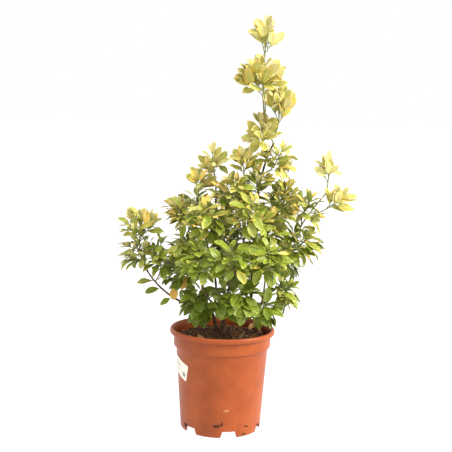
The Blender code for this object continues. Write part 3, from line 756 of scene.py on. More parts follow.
def shoot_end(space, direction, leaf):
    """Where a shoot ends, so that its last leaves reach the edge of the mass's space."""
    scaled = Vector([direction[i] / space.reach[i] for i in range(3)])
    edge = 1.0 / scaled.length
    reach = edge * SPACE_SLACK - leaf * LEAF_OVERHANG
    return space.centre + direction * max(edge * SHORTEST_SHOOT, reach)


def tapered(ends, count):
    """Radii in metres that go evenly from the first of ends to the second."""
    foot, end = ends
    return [(foot + (end - foot) * i / (count - 1)) * MM for i in range(count)]


def main_shoot(mass, grown, stems):
    """The stem of a mass, rising from its limb and clear of every limb and earlier stem."""
    space = Space(mass)
    limb = grown[mass.limb]
    others = [grown[name]["room"] for name in grown if name != mass.limb]
    others += [stem["room"] for stem in stems.values()]
    for step in range(STEM_TRIES):
        where = mass.where if mass.where >= 1.0 else mass.where - STEM_STEP_BACK * step
        start, normal = root_on(limb, where, space.centre, 0.0)
        aim = (space.centre - start).normalized()
        lead = (aim + UP * LEAD_RISE).normalized()
        side = lead.orthogonal().normalized()
        outward = STEM_OUTWARD + STEM_OUTWARD_STEP * step
        leaving = (normal * outward + aim * STEM_INWARD).normalized()
        top = shoot_end(space, lead, LEAF_LENGTH * MM)
        points = shoot_line(start, leaving, top, STEM_POINTS)
        body = tube(points, tapered(STEM_ROOM, STEM_POINTS), TWIG_SIDES)
        room = tree_of(*body)
        if not any(room.overlap(other) for other in others):
            break
    return {"points": points, "axes": (lead, side, lead.cross(side)), "space": space,
            "room": room, "body": body}


def mass_shoots(mass, stem, rng):
    """The main shoot, its side shoots and their spurs, each as points, radii and rank."""
    lead, side, across = stem["axes"]
    space = stem["space"]
    main = stem["points"]
    shoots = [(main, MAIN_TWIG, 0)]
    turn = rng.uniform(0, FULL_TURN)
    count = mass.shoots * SHOOTS_FOR_ONE + 1
    for k in range(count):
        share = (k + 0.5) / count
        place, tangent, _ = along(main, FIRST_SHOOT + SHOOT_STRETCH * share)
        turn += GOLDEN_ANGLE + rng.uniform(-TURN_SPREAD, TURN_SPREAD)
        polar = math.radians(LOWEST_ANGLE - ANGLE_RANGE * share
                             + rng.uniform(-ANGLE_SPREAD, ANGLE_SPREAD))
        out = (lead * math.cos(polar)
               + (side * math.cos(turn) + across * math.sin(turn)) * math.sin(polar))
        end = shoot_end(space, out, LEAF_LENGTH * MM * rng.uniform(*SHORT_OF_EDGE))
        aim = (end - place).normalized()
        leaving = (aim + tangent * SIDE_LEAN - UP * SIDE_DROOP).normalized()
        points = shoot_line(place, leaving, end, SIDE_POINTS)
        shoots.append((points, SIDE_TWIG, 1))
        if line_length(points) > LEAST_FORKING:
            fork, ahead, _ = along(points, rng.uniform(*FORK_AT))
            off = ahead.cross(UP)
            if off.length < PARALLEL:
                off = ahead.orthogonal()
            off = off.normalized() * rng.choice((-1, 1))
            reach = line_length(points) * rng.uniform(*SPUR_REACH)
            aim = (ahead * SPUR_LEAN + off + UP * rng.uniform(*SPUR_RISE)).normalized()
            tip = fork + aim * reach
            shoots.append((shoot_line(fork, aim, tip, SPUR_POINTS), SPUR_TWIG, 2))
    return shoots


def between(table, value):
    """The rows of a table read at a value between two of its first column's."""
    for low, high in zip(table, table[1:]):
        if value <= high[0]:
            break
    share = share_of(value, (low[0], high[0]))
    return [a + (b - a) * share for a, b in zip(low[1:], high[1:])]


Pair = namedtuple("Pair", "opened closing step youth gold")
# pairs of leaves from a shoot's tip down: degrees that they open and how many fewer on an upright
# shoot, share of a step to the next pair, how much paler they are, and chance of a golden one
PAIRS = (
    Pair(23, 6, 0.4, 0.26, 0.5),
    Pair(50, 14, 0.7, 0.12, 0.08),
    Pair(64, 15, 1.0, 0.0, 0.02),
    Pair(70, 14, 1.25, -0.08, 0.0),
    Pair(74, 12, 1.4, -0.12, 0.0),
)
FIRST_PAIR = 1.2 * MM
OPENING_SPREAD = 9
STEP_SPREAD = (0.9, 1.1)
# share of its length, from the tip down, that a main shoot, a side shoot and a spur have leaves on
LEAFY_SHARES = (0.62, 0.85, 0.8)


def leaf_places(points, rank, spacing, pairs, upright, rng):
    """Base, direction and side of opposite leaves, each pair turned a quarter from the last."""
    length = line_length(points)
    _, tangent, _ = along(points, 1.0)
    first = tangent.orthogonal().normalized()
    first.rotate(Matrix.Rotation(rng.uniform(0, math.pi), 3, tangent))
    places = []
    back = FIRST_PAIR
    for k, pair in enumerate(PAIRS[:pairs]):
        if back >= length * LEAFY_SHARES[rank]:
            break
        place, tangent, _ = along(points, 1.0 - back / length)
        out = (first - tangent * first.dot(tangent)).normalized()
        if k % 2:
            out = tangent.cross(out)
        for sign in (1, -1):
            opened = math.radians(pair.opened - pair.closing * upright
                                  + rng.uniform(-OPENING_SPREAD, OPENING_SPREAD))
            places.append((place, tangent, out * sign, opened, k))
        back += spacing * pair.step * rng.uniform(*STEP_SPREAD)
    return places


# the side that the young shoots turn their leaves to
TO_WINDOW = Vector((0.15, -1.0, 0.25))
# how strongly a leaf's face turns to each: towards the sky and outwards, also how much less so on
# an upright shoot
TOWARDS_TIP = 0.6
TOWARDS_SKY = (0.95, 0.6)
TOWARDS_SIDE = (0.3, 0.2)
TOWARDS_WINDOW = 0.9
# the middle of the crown as seen from above, in metres
CROWN_MIDDLE = Vector((0.03, 0.0, 0.0))


def leaf_pose(place, tangent, out, spread, droop, upright, facing):
    """Direction of a leaf and of its upper face, which turns up and out towards the light."""
    ahead = tangent * math.cos(spread) + out * math.sin(spread) - UP * droop
    ahead.normalize()
    outward = place - CROWN_MIDDLE
    outward.z = 0.0
    face = (tangent * TOWARDS_TIP + UP * (TOWARDS_SKY[0] - TOWARDS_SKY[1] * upright)
            + outward.normalized() * (TOWARDS_SIDE[0] - TOWARDS_SIDE[1] * upright)
            + TO_WINDOW * TOWARDS_WINDOW * facing)
    face -= ahead * face.dot(ahead)
    if face.length < PARALLEL / 2:
        face = out - ahead * out.dot(ahead)
    return ahead, face.normalized()


LEAF_STALK = 0.15
# share of the leaf's length at each cross row: a stalk, the blade and its tip
LEAF_ROWS = (-LEAF_STALK, -0.02, 0.06, 0.16, 0.29, 0.43, 0.57, 0.7, 0.82, 0.91, 0.97, 1.0)
STALK_ROWS = 2
LEAF_TIP_ROWS = 9
RIB_HALF = 0.07
VEIN_COLUMN = 0.42
UNDER_COLUMNS = (-0.78, 0.0, 0.78)
UNDER_RIB = 2.2
STALK_HALF = 0.02
BLADE_END = 0.985
WIDEST_LATE = 1.12
MARGIN_COLUMN = 0.8
MARGIN_SPREAD = 0.05
MARGIN_SWAY = 0.1
MARGIN_RATE = 2.6
TOOTHED = (0.1, 0.97)
TEETH = (-0.02, 0.028)
LEAF_FOLD = (0.12, 0.5)
FOLD_AT_FOOT = 0.6
LEAF_CURL = (0.02, 0.3)
ARCH_CURL = (0.1, 0.4)
LEAF_TWIST = 0.25
LEAF_WAVE = (0.0, 0.05)
WAVE_PHASE = 6.28
WAVE_ALONG = 9.0
WAVE_ACROSS = 2.0
# how much of a leaf's field is marbled: next to the margin and next to the midrib
OUTER_MARBLING = 0.36
INNER_MARBLING = 0.2


def blade_half(t, point):
    """Half width of an egg-shaped blade, widest past its middle, as a share of the widest."""
    if t <= 0.0:
        return 0.0
    return math.sin(math.pi * min(t, BLADE_END) ** WIDEST_LATE) ** point


# highest light that the tones serve: middle, marbling, margin, tip, midrib, underside
LOOKS = (
    (0.16, "deep_green", "leaf_green", "leaf_green", "leaf_green", "leaf_green", "under_green"),
    (0.30, "leaf_green", "deep_green", "fresh_green", "fresh_green", "vein_green",
     "under_green"),
    (0.42, "leaf_green", "fresh_green", "fresh_green", "lime", "vein_green", "under_green"),
    (0.54, "fresh_green", "leaf_green", "lime", "lime", "vein_green", "under_green"),
    (0.66, "grey_green", "fresh_green", "lime", "straw", "vein_green", "under_green"),
    (0.80, "grey_green", "olive", "straw", "butter", "vein_pale", "under_pale"),
    (0.92, "olive", "grey_green", "butter", "gold", "vein_pale", "under_pale"),
    (1.06, "olive", "olive", "cream", "butter", "straw", "under_pale"),
    (9.00, "straw", "straw", "cream", "gold", "butter", "under_pale"),
)
LIGHT_SPREAD = 0.09
# below the first light a leaf's age doesn't change its tone, and it does in full above the second
AGE_LIGHTS = (0.05, 0.35)
PALE_LIGHT = 0.85
PALE_AGEING = 0.6
GOLD_LIGHTS = (0.6, 1.06)
GOLD_EDGE_LIGHT = 0.55
GOLD_EDGE_CHANCE = 0.16


def leaf_look(light, order, rng):
    """The leaf's tones: middle, marbling, margin, tip, midrib, underside."""
    ageing = share_of(light, AGE_LIGHTS)
    ageing *= PALE_AGEING if light > PALE_LIGHT else 1.0
    light += PAIRS[order].youth * ageing + rng.gauss(0, LIGHT_SPREAD)
    for limit, *tones in LOOKS:
        if light < limit:
            break
    chance = rng.random()
    if GOLD_LIGHTS[0] < light < GOLD_LIGHTS[1] and chance < PAIRS[order].gold:
        tones[:4] = "gold", "butter", "gold", "amber"
    elif light > GOLD_EDGE_LIGHT and chance > 1.0 - GOLD_EDGE_CHANCE:
        tones[2:4] = "gold", "amber"
    return tones


def leaf_shell(length, width, point, look, arch, rng):
    """A thin closed leaf lying along +Y with its upper face up: points, faces and tones."""
    middle, marbling, margin, tip, rib, under = (TONE[name] for name in look)
    stalk = TONE["petiole"]
    fold = rng.uniform(*LEAF_FOLD)
    curl = rng.uniform(*LEAF_CURL) + arch * rng.uniform(*ARCH_CURL)
    twist = rng.uniform(-LEAF_TWIST, LEAF_TWIST)
    wave = rng.uniform(*LEAF_WAVE)
    phase = rng.uniform(0, WAVE_PHASE)
    half = length * width / 2
    thick = LEAF_THICKNESS * MM / 2
    points = []
    rows = []
    for i, t in enumerate(LEAF_ROWS):
        tooth = 1.0 + TEETH[i % 2] * (TOOTHED[0] < t < TOOTHED[1])
        wide = max(half * blade_half(t, point) * tooth, length * STALK_HALF)
        lift = -curl * length * max(t, 0.0) ** 2 * 0.5
        inner = (MARGIN_COLUMN + MARGIN_SWAY * math.sin(MARGIN_RATE * i + phase)
                 + rng.uniform(-MARGIN_SPREAD, MARGIN_SPREAD))

        def corner(u, ripple, off):
            x = u * wide
            z = lift + abs(x) * fold * (FOLD_AT_FOOT + (1 - FOLD_AT_FOOT) * t) + x * twist * t
            points.append(Vector((x, t * length, z + ripple + off)))
            return len(points) - 1

        above = []
        for u in (-1.0, -inner, -VEIN_COLUMN, -RIB_HALF, RIB_HALF, VEIN_COLUMN, inner, 1.0):
            ripple = wave * length * math.sin(WAVE_ALONG * t + phase + WAVE_ACROSS * u) * u * u
            above.append(corner(u, ripple, thick if abs(u) < 1.0 else 0.0))
        below = [corner(u, 0.0, -thick * (1.0 if u else UNDER_RIB)) for u in UNDER_COLUMNS]
        rows.append((above, [above[0]] + below + [above[-1]]))
    faces = []
    slots = []
    for i, ((low, low_under), (high, high_under)) in enumerate(zip(rows, rows[1:])):
        whole = stalk if i < STALK_ROWS else tip if i >= LEAF_TIP_ROWS else None
        for k in range(7):
            faces.append((low[k], low[k + 1], high[k + 1], high[k]))
            if k == 3 and i >= STALK_ROWS:
                slots.append(rib)
            elif whole is not None:
                slots.append(whole)
            elif k in (0, 6):
                slots.append(margin)
            else:
                share = OUTER_MARBLING if k in (1, 5) else INNER_MARBLING
                slots.append(marbling if rng.random() < share else middle)
        for k in range(4):
            faces.append((low_under[k + 1], low_under[k], high_under[k], high_under[k + 1]))
            edge = margin if k in (0, 3) else under
            slots.append(edge if whole is None else whole)
    foot, foot_below = rows[0]
    end, end_below = rows[-1]
    faces.append(tuple(reversed(foot)) + tuple(foot_below[1:-1]))
    faces.append(tuple(end) + tuple(reversed(end_below[1:-1])))
    return points, faces, slots + [stalk, tip]


PROBE_ROWS = (0.12, 0.36, 0.62, 0.86)
PROBE_FACES = [(0, 1, 2), (1, 3, 4), (1, 4, 2), (3, 5, 6), (3, 6, 4), (5, 7, 6)]


def leaf_probe(base, ahead, face, length, width, point):
    """A flat stand-in for the leaf's blade, to test what it would touch."""
    across = ahead.cross(face)
    corners = [base + ahead * length * PROBE_ROWS[0]]
    for t in PROBE_ROWS[1:]:
        half = across * length * width / 2 * blade_half(t, point)
        corners += [base + ahead * length * t - half, base + ahead * length * t + half]
    corners.append(base + ahead * length)
    return corners


def posed(base, ahead, face):
    """Matrix that lays +Y along ahead and +Z along face, at base."""
    across = ahead.cross(face)
    turn = Matrix((across, ahead, face)).transposed().to_4x4()
    return Matrix.Translation(base) @ turn


def set_leaf(leaves, base, ahead, face, form, look, arch, rng):
    """One leaf into its heap: form is its length in metres, its shape and how pointed it is."""
    shell, faces, slots = leaf_shell(*form, look, arch, rng)
    pose = posed(base + ahead * form[0] * LEAF_STALK, ahead, face)
    leaves.add([pose @ corner for corner in shell], faces, slots)


# the scene draws from seeds that are this far above the part's
SEED_STEP = 1000
# lights between which shoots turn upright, and between which they face the window
UPRIGHT_LIGHTS = (0.35, 0.75)
FACING_LIGHTS = (0.55, 0.9)
FEWER_PAIRS = 1.6
YOUNG_LIGHT = 0.75
LEAF_SIZES = (0.84, 1.16)
TIP_LEAF = 0.62
LEAF_WIDTHS = (0.88, 1.12)
TRY_TURN = 0.12
TRY_SPREAD = 0.08
TRY_SHRINK = 0.97
MOST_DROOP = 0.3
OLDER_DROOP = 0.25


def grow_mass(mass, stem, taken, leaves, young, old):
    """Twigs, then leaves, of one mass: each keeps to its space and clear of what is taken."""
    rng = random.Random(SEED_STEP + mass.seed)
    space = stem["space"]
    upright = share_of(mass.light, UPRIGHT_LIGHTS)
    facing = share_of(mass.light, FACING_LIGHTS)
    pairs = len(PAIRS) - round(FEWER_PAIRS * facing)
    usual, shape, point = between(LEAF_FORMS, mass.light)
    kept = []
    for k, (points, ends, rank) in enumerate(mass_shoots(mass, stem, rng)):
        owner = (mass.name, k)
        radii = tapered(ends, len(points))
        if rank:
            probe = tube(points[2:], radii[2:], TWIG_PROBE_SIDES)
            if not all(space.holds(place) for place in points[1:]):
                continue
            if taken.hits(*probe, owner):
                continue
            taken.add(*probe, owner)
        kept.append((owner, points, rank))
        twigs = young if rank or mass.light > YOUNG_LIGHT else old
        twigs.add(*tube(points, radii, TWIG_SIDES), 0)
    for owner, points, rank in kept:
        places = leaf_places(points, rank, usual * PAIR_SPACING * MM, pairs, upright, rng)
        for place, tangent, out, spread, order in places:
            size = usual * MM * rng.uniform(*LEAF_SIZES) * (1.0 if order else TIP_LEAF)
            width = shape * rng.uniform(*LEAF_WIDTHS)
            for tries in range(LEAF_TRIES):
                turn = rng.uniform(-TRY_TURN, TRY_TURN) * tries
                turned_out = Matrix.Rotation(turn, 3, tangent) @ out
                opened = spread + rng.uniform(-TRY_SPREAD, TRY_SPREAD) * tries
                droop = rng.uniform(0.0, MOST_DROOP) + (OLDER_DROOP if order else 0.0)
                ahead, face = leaf_pose(place, tangent, turned_out, opened,
                                        droop * (1 - upright), upright, facing)
                probe = leaf_probe(place, ahead, face, size, width, point)
                if not all(space.holds(corner) for corner in probe):
                    size *= TRY_SHRINK
                elif not taken.hits(probe, PROBE_FACES, owner):
                    taken.add(probe, PROBE_FACES, None)
                    look = leaf_look(mass.light, order, rng)
                    set_leaf(leaves, place, ahead, face, (size, width, point), look,
                             1 - upright, rng)
                    break


# limb, how far along it, turn round it, leaf length, light
BOUGH_LEAVES = (
    ("bough_far_left", 0.36, 70, 20, 0.2), ("bough_far_left", 0.46, -75, 22, 0.25),
    ("bough_far_left", 0.55, 80, 24, 0.3), ("bough_far_left", 0.62, -95, 26, 0.3),
    ("bough_far_left", 0.74, -80, 27, 0.35), ("bough_right_spray", 0.30, 95, 24, 0.6),
    ("bough_right_spray", 0.44, -80, 24, 0.7), ("bough_right_spray", 0.60, -92, 31, 1.1),
    ("bough_right_spray", 0.66, 90, 27, 0.8), ("bough_right_spray", 0.78, -80, 26, 0.9),
    ("bough_right_spray", 0.90, 85, 27, 0.9), ("leader_tip", 0.18, 90, 24, 0.8),
    ("leader_tip", 0.30, -90, 26, 0.9), ("leader", 0.62, -95, 25, 0.7),
    ("leader", 0.72, 85, 24, 0.7), ("bough_peak", 0.88, 80, 24, 0.6),
)


BOUGH_LEAF_SEED = 77
BOUGH_LEAF_OPENED = (48, 66)
BOUGH_LEAF_UPRIGHT = 0.9
BOUGH_LEAF_ARCH = 0.4
# share of the bough's radius at which a leaf's stalk starts, so that it is rooted in the bark
BOUGH_LEAF_SEAT = 0.8


def grow_bough_leaves(grown, taken, leaves):
    """Single leaves left on the bare lengths of boughs."""
    rng = random.Random(BOUGH_LEAF_SEED)
    for limb, where, turn, size, light in BOUGH_LEAVES:
        shape = grown[limb]
        place, tangent, share = along(shape["points"], where)
        radius = shape["radii"][min(int(share), len(shape["radii"]) - 1)]
        side = tangent.cross(Vector((0.0, 1.0, 0.0))).normalized()
        side.rotate(Matrix.Rotation(math.radians(turn + 90), 3, tangent))
        form = (size * MM, *between(LEAF_FORMS, light)[1:])
        opened = math.radians(rng.uniform(*BOUGH_LEAF_OPENED))
        ahead, face = leaf_pose(place, tangent, side, opened, 0.0, BOUGH_LEAF_UPRIGHT,
                                BOUGH_LEAF_UPRIGHT)
        probe = leaf_probe(place + side * radius, ahead, face, *form)
        if not taken.hits(probe, PROBE_FACES, (limb, 0)):
            taken.add(probe, PROBE_FACES, None)
            set_leaf(leaves, place + side * radius * BOUGH_LEAF_SEAT, ahead, face, form,
                     leaf_look(light, 0, rng), BOUGH_LEAF_ARCH, rng)


def grow_foliage(grown, finishes, young_bark, old_bark, pot_body):
    """Every stem first, then mass by mass, so that nothing grows into another's shoots."""
    taken = Taken()
    for shape in grown.values():
        taken.add(*shape["body"], None)
    for corners, faces in pot_body:
        taken.add(corners, faces, None)
    stems = {}
    for mass in MASSES:
        stems[mass.name] = main_shoot(mass, grown, stems)
        taken.add(*stems[mass.name]["body"], (mass.name, 0))
    by_name = {mass.name: mass for mass in MASSES}
    young = Heap()
    old = Heap()
    for spray, names in SPRAYS.items():
        leaves = Heap()
        for name in names:
            grow_mass(by_name[name], stems[name], taken, leaves, young, old)
        leaves.piece("leaves_" + spray, finishes, names)
    leaves = Heap()
    grow_bough_leaves(grown, taken, leaves)
    leaves.piece("leaves_on_boughs", finishes)
    young.piece("young_twigs", [young_bark])
    old.piece("older_twigs", [old_bark])


# ---- pot, compost and label
def wall_radius(height):
    """Outer radius of the pot's body below the collar."""
    return BASE_RADIUS + (BODY_RADIUS - BASE_RADIUS) * height / BODY_TOP


def rounded(profile, size, steps):
    """The same profile with each corner rounded off."""
    made = [profile[0]]
    for before, corner, after in zip(profile, profile[1:], profile[2:]):
        back = Vector(before) - Vector(corner)
        on = Vector(after) - Vector(corner)
        cut = min(size, 0.45 * back.length, 0.45 * on.length)
        start = Vector(corner) + back.normalized() * cut
        end = Vector(corner) + on.normalized() * cut
        for k in range(steps + 1):
            t = k / steps
            made.append(tuple(start * (1 - t) ** 2 + Vector(corner) * 2 * t * (1 - t)
                              + end * t * t))
    made.append(profile[-1])
    return made


def pot_profile():
    """From the floor's middle up the inside, over the rolled rim and down the outside."""
    collar_foot = POT_HEIGHT - COLLAR_DEPTH
    lip_foot = POT_HEIGHT - RIM_LIP
    mouth = RIM_RADIUS - RIM_WIDTH
    sharp = [
        (0.0, PAD_FLOOR),
        (CENTRE_PAD - WALL - PAD_DRAFT, PAD_FLOOR),
        (CENTRE_PAD - WALL, FLOOR_TOP),
        (wall_radius(FLOOR_TOP) - WALL, FLOOR_TOP),
        (BODY_RADIUS - WALL, BODY_TOP),
        (COLLAR_RADIUS - COLLAR_DRAFT - WALL, collar_foot),
        (COLLAR_RADIUS - WALL, lip_foot),
        (mouth, POT_HEIGHT - RIM_ROUND),
        (mouth + RIM_ROUND, POT_HEIGHT),
        (RIM_RADIUS - RIM_ROUND, POT_HEIGHT),
        (RIM_RADIUS, POT_HEIGHT - RIM_ROUND),
        (RIM_RADIUS, lip_foot + LIP_ROUND),
        (RIM_RADIUS - LIP_ROUND, lip_foot),
        (COLLAR_RADIUS, lip_foot),
        (COLLAR_RADIUS - COLLAR_DRAFT, collar_foot),
        (BODY_RADIUS, BODY_TOP),
        (wall_radius(FOOT_ROUND), FOOT_ROUND),
        (BASE_RADIUS - FOOT_ROUND, 0.0),
        (BASE_RADIUS - FOOT_WIDTH, 0.0),
        (BASE_RADIUS - SKIRT_DEPTH, FLOOR_UNDERSIDE),
        (CENTRE_PAD + PAD_DRAFT, FLOOR_UNDERSIDE),
        (CENTRE_PAD, 0.0),
        (0.0, 0.0),
    ]
    return rounded(sharp, CORNER_ROUND, CORNER_STEPS)


def ring_faces(rings, steps):
    """Faces of a body whose points are a middle, rings of steps points and a last middle."""
    faces = []
    last = 1 + (rings - 1) * steps
    for k in range(steps):
        n = (k + 1) % steps
        faces.append((0, 1 + k, 1 + n))
        faces.append((last + steps, last + n, last + k))
    for low in range(1, last, steps):
        for k in range(steps):
            n = (k + 1) % steps
            faces.append((low + k, low + steps + k, low + steps + n, low + n))
    return faces


def turned(profile, steps):
    """Points and faces of a profile turned about Z; its ends are on the axis."""
    points = [Vector((0.0, 0.0, profile[0][1])) * MM]
    for radius, height in profile[1:-1]:
        points += [round_z(radius, FULL_TURN * k / steps, height) * MM for k in range(steps)]
    points.append(Vector((0.0, 0.0, profile[-1][1])) * MM)
    return points, ring_faces(len(profile) - 2, steps)


def notch_cutter(index):
    """A block with slanted sides that cuts one drainage notch through wall and floor."""
    mesh = bpy.data.meshes.new(f"notch_{index}")
    shape = bmesh.new()
    bmesh.ops.create_cube(shape, size=1.0)
    for point in shape.verts:
        height = NOTCH_HEIGHT if point.co.z > 0 else -NOTCH_BELOW
        half = NOTCH_WIDTH / 2 - NOTCH_TAPER * height / NOTCH_HEIGHT
        side = 1 if point.co.y > 0 else -1
        radius = BASE_RADIUS + (NOTCH_OUTSIDE if point.co.x > 0 else -NOTCH_DEPTH)
        point.co = Vector((radius, side * half, height)) * MM
    shape.to_mesh(mesh)
    shape.free()
    mesh.transform(Matrix.Rotation(FIRST_NOTCH + index * FULL_TURN / FEET, 4, "Z"))
    return put(f"notch_{index}", mesh)


def build_pot(plastic):
    points, faces = turned(pot_profile(), TURN_STEPS)
    mesh = bpy.data.meshes.new("pot_shell")
    mesh.from_pydata(points, [], faces)
    rough = put("pot_rough", mesh)
    cutters = [notch_cutter(index) for index in range(FEET)]
    for cutter in cutters:
        cut = rough.modifiers.new(cutter.name, "BOOLEAN")
        cut.operation = "DIFFERENCE"
        cut.solver = "EXACT"
        cut.object = cutter
    graph = bpy.context.evaluated_depsgraph_get()
    done = bpy.data.meshes.new_from_object(rough.evaluated_get(graph))
    for thing in [rough] + cutters:
        bpy.data.objects.remove(thing, do_unlink=True)
    done.materials.clear()
    done.materials.append(plastic)
    done.shade_smooth()
    done.set_sharp_from_angle(angle=math.radians(POT_SHARP))
    place_piece("moulded_pot", done, ("pot",))


# the compost is heaped this high and this widely round each stem
SOIL_HEAP = (3.0, 14.0)
# height and size of the compost's clods, lumps and crumbs
SOIL_LUMPS = ((3.2, 26.0), (1.7, 8.0), (0.8, 3.0))
SOIL_RINGS = 46
SOIL_STEPS = 120
SOIL_PLUG = 20.0
SOIL_CLEARANCE = (0.7, 0.8)
SOIL_SINK = (2.5, 8.0)


def soil_height(x, y):
    """Height of the compost's lumpy surface in millimetres: heaped round the stems."""
    here = Vector((x, y, 0.0))
    height, width = SOIL_HEAP
    heap = sum(height * math.exp(-(here - Vector((*limb.where, 0.0))).length / width)
               for limb in LIMBS if limb.parent is None)
    lumps = sum(height * noise.noise(here / size) for height, size in SOIL_LUMPS)
    return SOIL_TOP + heap + lumps


def build_compost(soil):
    """A closed plug of compost with an uneven top, resting inside the pot's wall."""
    edge = COLLAR_RADIUS - WALL - SOIL_CLEARANCE[0]
    foot = BODY_RADIUS - WALL - SOIL_CLEARANCE[1]
    floor = SOIL_TOP - SOIL_PLUG
    depth, width = SOIL_SINK
    turns = [FULL_TURN * k / SOIL_STEPS for k in range(SOIL_STEPS)]
    points = [Vector((0.0, 0.0, soil_height(0, 0)))]
    for i in range(1, SOIL_RINGS + 1):
        radius = edge * i / SOIL_RINGS
        sink = depth * max(0.0, (radius - edge + width) / width) ** 2
        for turn in turns:
            place = round_z(radius, turn)
            points.append(place + UP * (soil_height(place.x, place.y) - sink))
    points += [round_z(foot, turn, floor) for turn in turns]
    points.append(UP * floor)
    heap = Heap()
    heap.add([point * MM for point in points], ring_faces(SOIL_RINGS + 1, SOIL_STEPS), 0)
    heap.piece("compost_surface", [soil], ("compost",), sharp=80)


LUMP_SIDES = 5
LUMP_GIRTH = (0.7, 1.25)
LUMP_WAIST = 0.45
LUMP_POLES = (0.8, 1.1)
LUMP_SQUASH = 0.7


def lump(place, size, rng, squash=LUMP_SQUASH):
    """A small broken crumb: a ball of two rings and two poles, pushed out of round."""
    corners = []
    for z in (-1, 1):
        for k in range(LUMP_SIDES):
            turn = FULL_TURN * (k + 0.5 * (z > 0)) / LUMP_SIDES
            height = z * size * LUMP_WAIST * squash
            corners.append(place + round_z(size * rng.uniform(*LUMP_GIRTH), turn, height))
    for z in (1, -1):
        corners.append(place + UP * z * size * squash * rng.uniform(*LUMP_POLES))
    top, bottom = 2 * LUMP_SIDES, 2 * LUMP_SIDES + 1
    faces = []
    for k in range(LUMP_SIDES):
        n = (k + 1) % LUMP_SIDES
        up, up_next = LUMP_SIDES + k, LUMP_SIDES + n
        faces += [(k, n, up), (n, up_next, up), (up, up_next, top), (n, k, bottom)]
    return corners, faces


LITTER_SEED = 77
LITTER_EDGE = 84.0
CRUMBS = 520
CRUMB_EDGE = 82.0
CRUMB_SIZES = (0.8, 2.6)
DARK_CRUMBS = 0.6
GRAINS = 26
GRAIN_EDGE = 80.0
GRAIN_SIZES = (0.6, 1.2)
GRAIN_SQUASH = 0.9
FIBRES = 300
FIBRE_EDGE = 78.0
FIBRE_LENGTHS = (4.0, 15.0)
FIBRE_RADII = (0.18, 0.42)
FIBRE_POINTS = 5
FIBRE_SIDES = 4
FIBRE_CURL = 0.9
FIBRE_BEND = 0.12
FIBRE_LIFT = 0.4
FIBRE_LOOSE = 0.9
DRY_LEAF_FORM = (0.55, 0.6)
DRY_LEAF_CURL = 0.55


def soil_place(rng, edge):
    place = round_z(edge * math.sqrt(rng.random()), rng.uniform(0, FULL_TURN))
    return place + UP * soil_height(place.x, place.y)


def coir_fibre(rng):
    """One bent fibre that lies on the compost: points and radii."""
    place = soil_place(rng, FIBRE_EDGE)
    turn = rng.uniform(0, FULL_TURN)
    level = round_z(1.0, turn)
    length = rng.uniform(*FIBRE_LENGTHS)
    line = []
    for k in range(FIBRE_POINTS):
        bend = Vector((-level.y, level.x, 0.0)) * math.sin(k * FIBRE_CURL + turn)
        point = (place + level * length * (k / (FIBRE_POINTS - 1) - 0.5)
                 + bend * length * FIBRE_BEND)
        radius = math.hypot(point.x, point.y)
        if radius > LITTER_EDGE:
            point *= LITTER_EDGE / radius
        point.z = soil_height(point.x, point.y) + FIBRE_LIFT + rng.uniform(0.0, FIBRE_LOOSE)
        line.append(point * MM)
    return line, [rng.uniform(*FIBRE_RADII) * MM] * FIBRE_POINTS


def build_soil_litter(dark, brown, pale, tones):
    """Crumbs, grains of perlite, coir fibres and dry leaves that lie on the compost."""
    rng = random.Random(LITTER_SEED)
    crumbs = Heap()
    for _ in range(CRUMBS):
        place = soil_place(rng, CRUMB_EDGE)
        shape, faces = lump(place * MM, rng.uniform(*CRUMB_SIZES) * MM, rng)
        crumbs.add(shape, faces, 0 if rng.random() < DARK_CRUMBS else 1)
    for _ in range(GRAINS):
        place = soil_place(rng, GRAIN_EDGE)
        crumbs.add(*lump(place * MM, rng.uniform(*GRAIN_SIZES) * MM, rng, GRAIN_SQUASH), 2)
    crumbs.piece("compost_crumbs", [dark, brown, pale], (), sharp=30)
    fibres = Heap()
    for _ in range(FIBRES):
        fibres.add(*tube(*coir_fibre(rng), FIBRE_SIDES), 0)
    fibres.piece("coir_fibres", [brown])
    litter = Heap()
    for place, ahead, face, size in DRY_LEAVES:
        length = size * MM
        shell, faces, _ = leaf_shell(length, *DRY_LEAF_FORM, ("dry_leaf",) * 6, 1.0, rng)
        pose = posed(Vector(place) * MM, Vector(ahead).normalized(), square(face, ahead))
        for point in shell:
            point.z += length * DRY_LEAF_CURL * (point.y / length) ** 2
        litter.add([pose @ point for point in shell], faces, [TONE["dry_leaf"]] * len(faces))
    litter.piece("dry_leaves", tones)


def square(face, ahead):
    """The part of face that is square to ahead."""
    direction = Vector(ahead).normalized()
    made = Vector(face) - direction * Vector(face).dot(direction)
    return made.normalized()


# place, direction, upper face and length of shed leaves lying on the compost
DRY_LEAVES = (
    ((20, -20, 172), (0.5, -0.3, 0.75), (0.3, -1, 0.2), 19),
    ((29, -24, 171), (0.9, 0.1, 0.5), (0, -0.6, 1), 16),
    ((-30, -48, 171), (-0.7, 0.5, 0.12), (0, -0.3, 1), 17),
    ((50, 40, 172), (0.4, 0.7, 0.2), (0, -0.3, 1), 20),
)
# place, direction, upper face and length of the yellowed leaves that still hang on the plant
FADED_LEAVES = (
    ((-88, 6, 256), (-0.1, -0.25, -0.95), (-0.25, -0.9, 0.3), 24),
    ((-66, -2, 277), (-0.35, -0.35, -0.75), (0.2, -0.9, 0.4), 25),
)
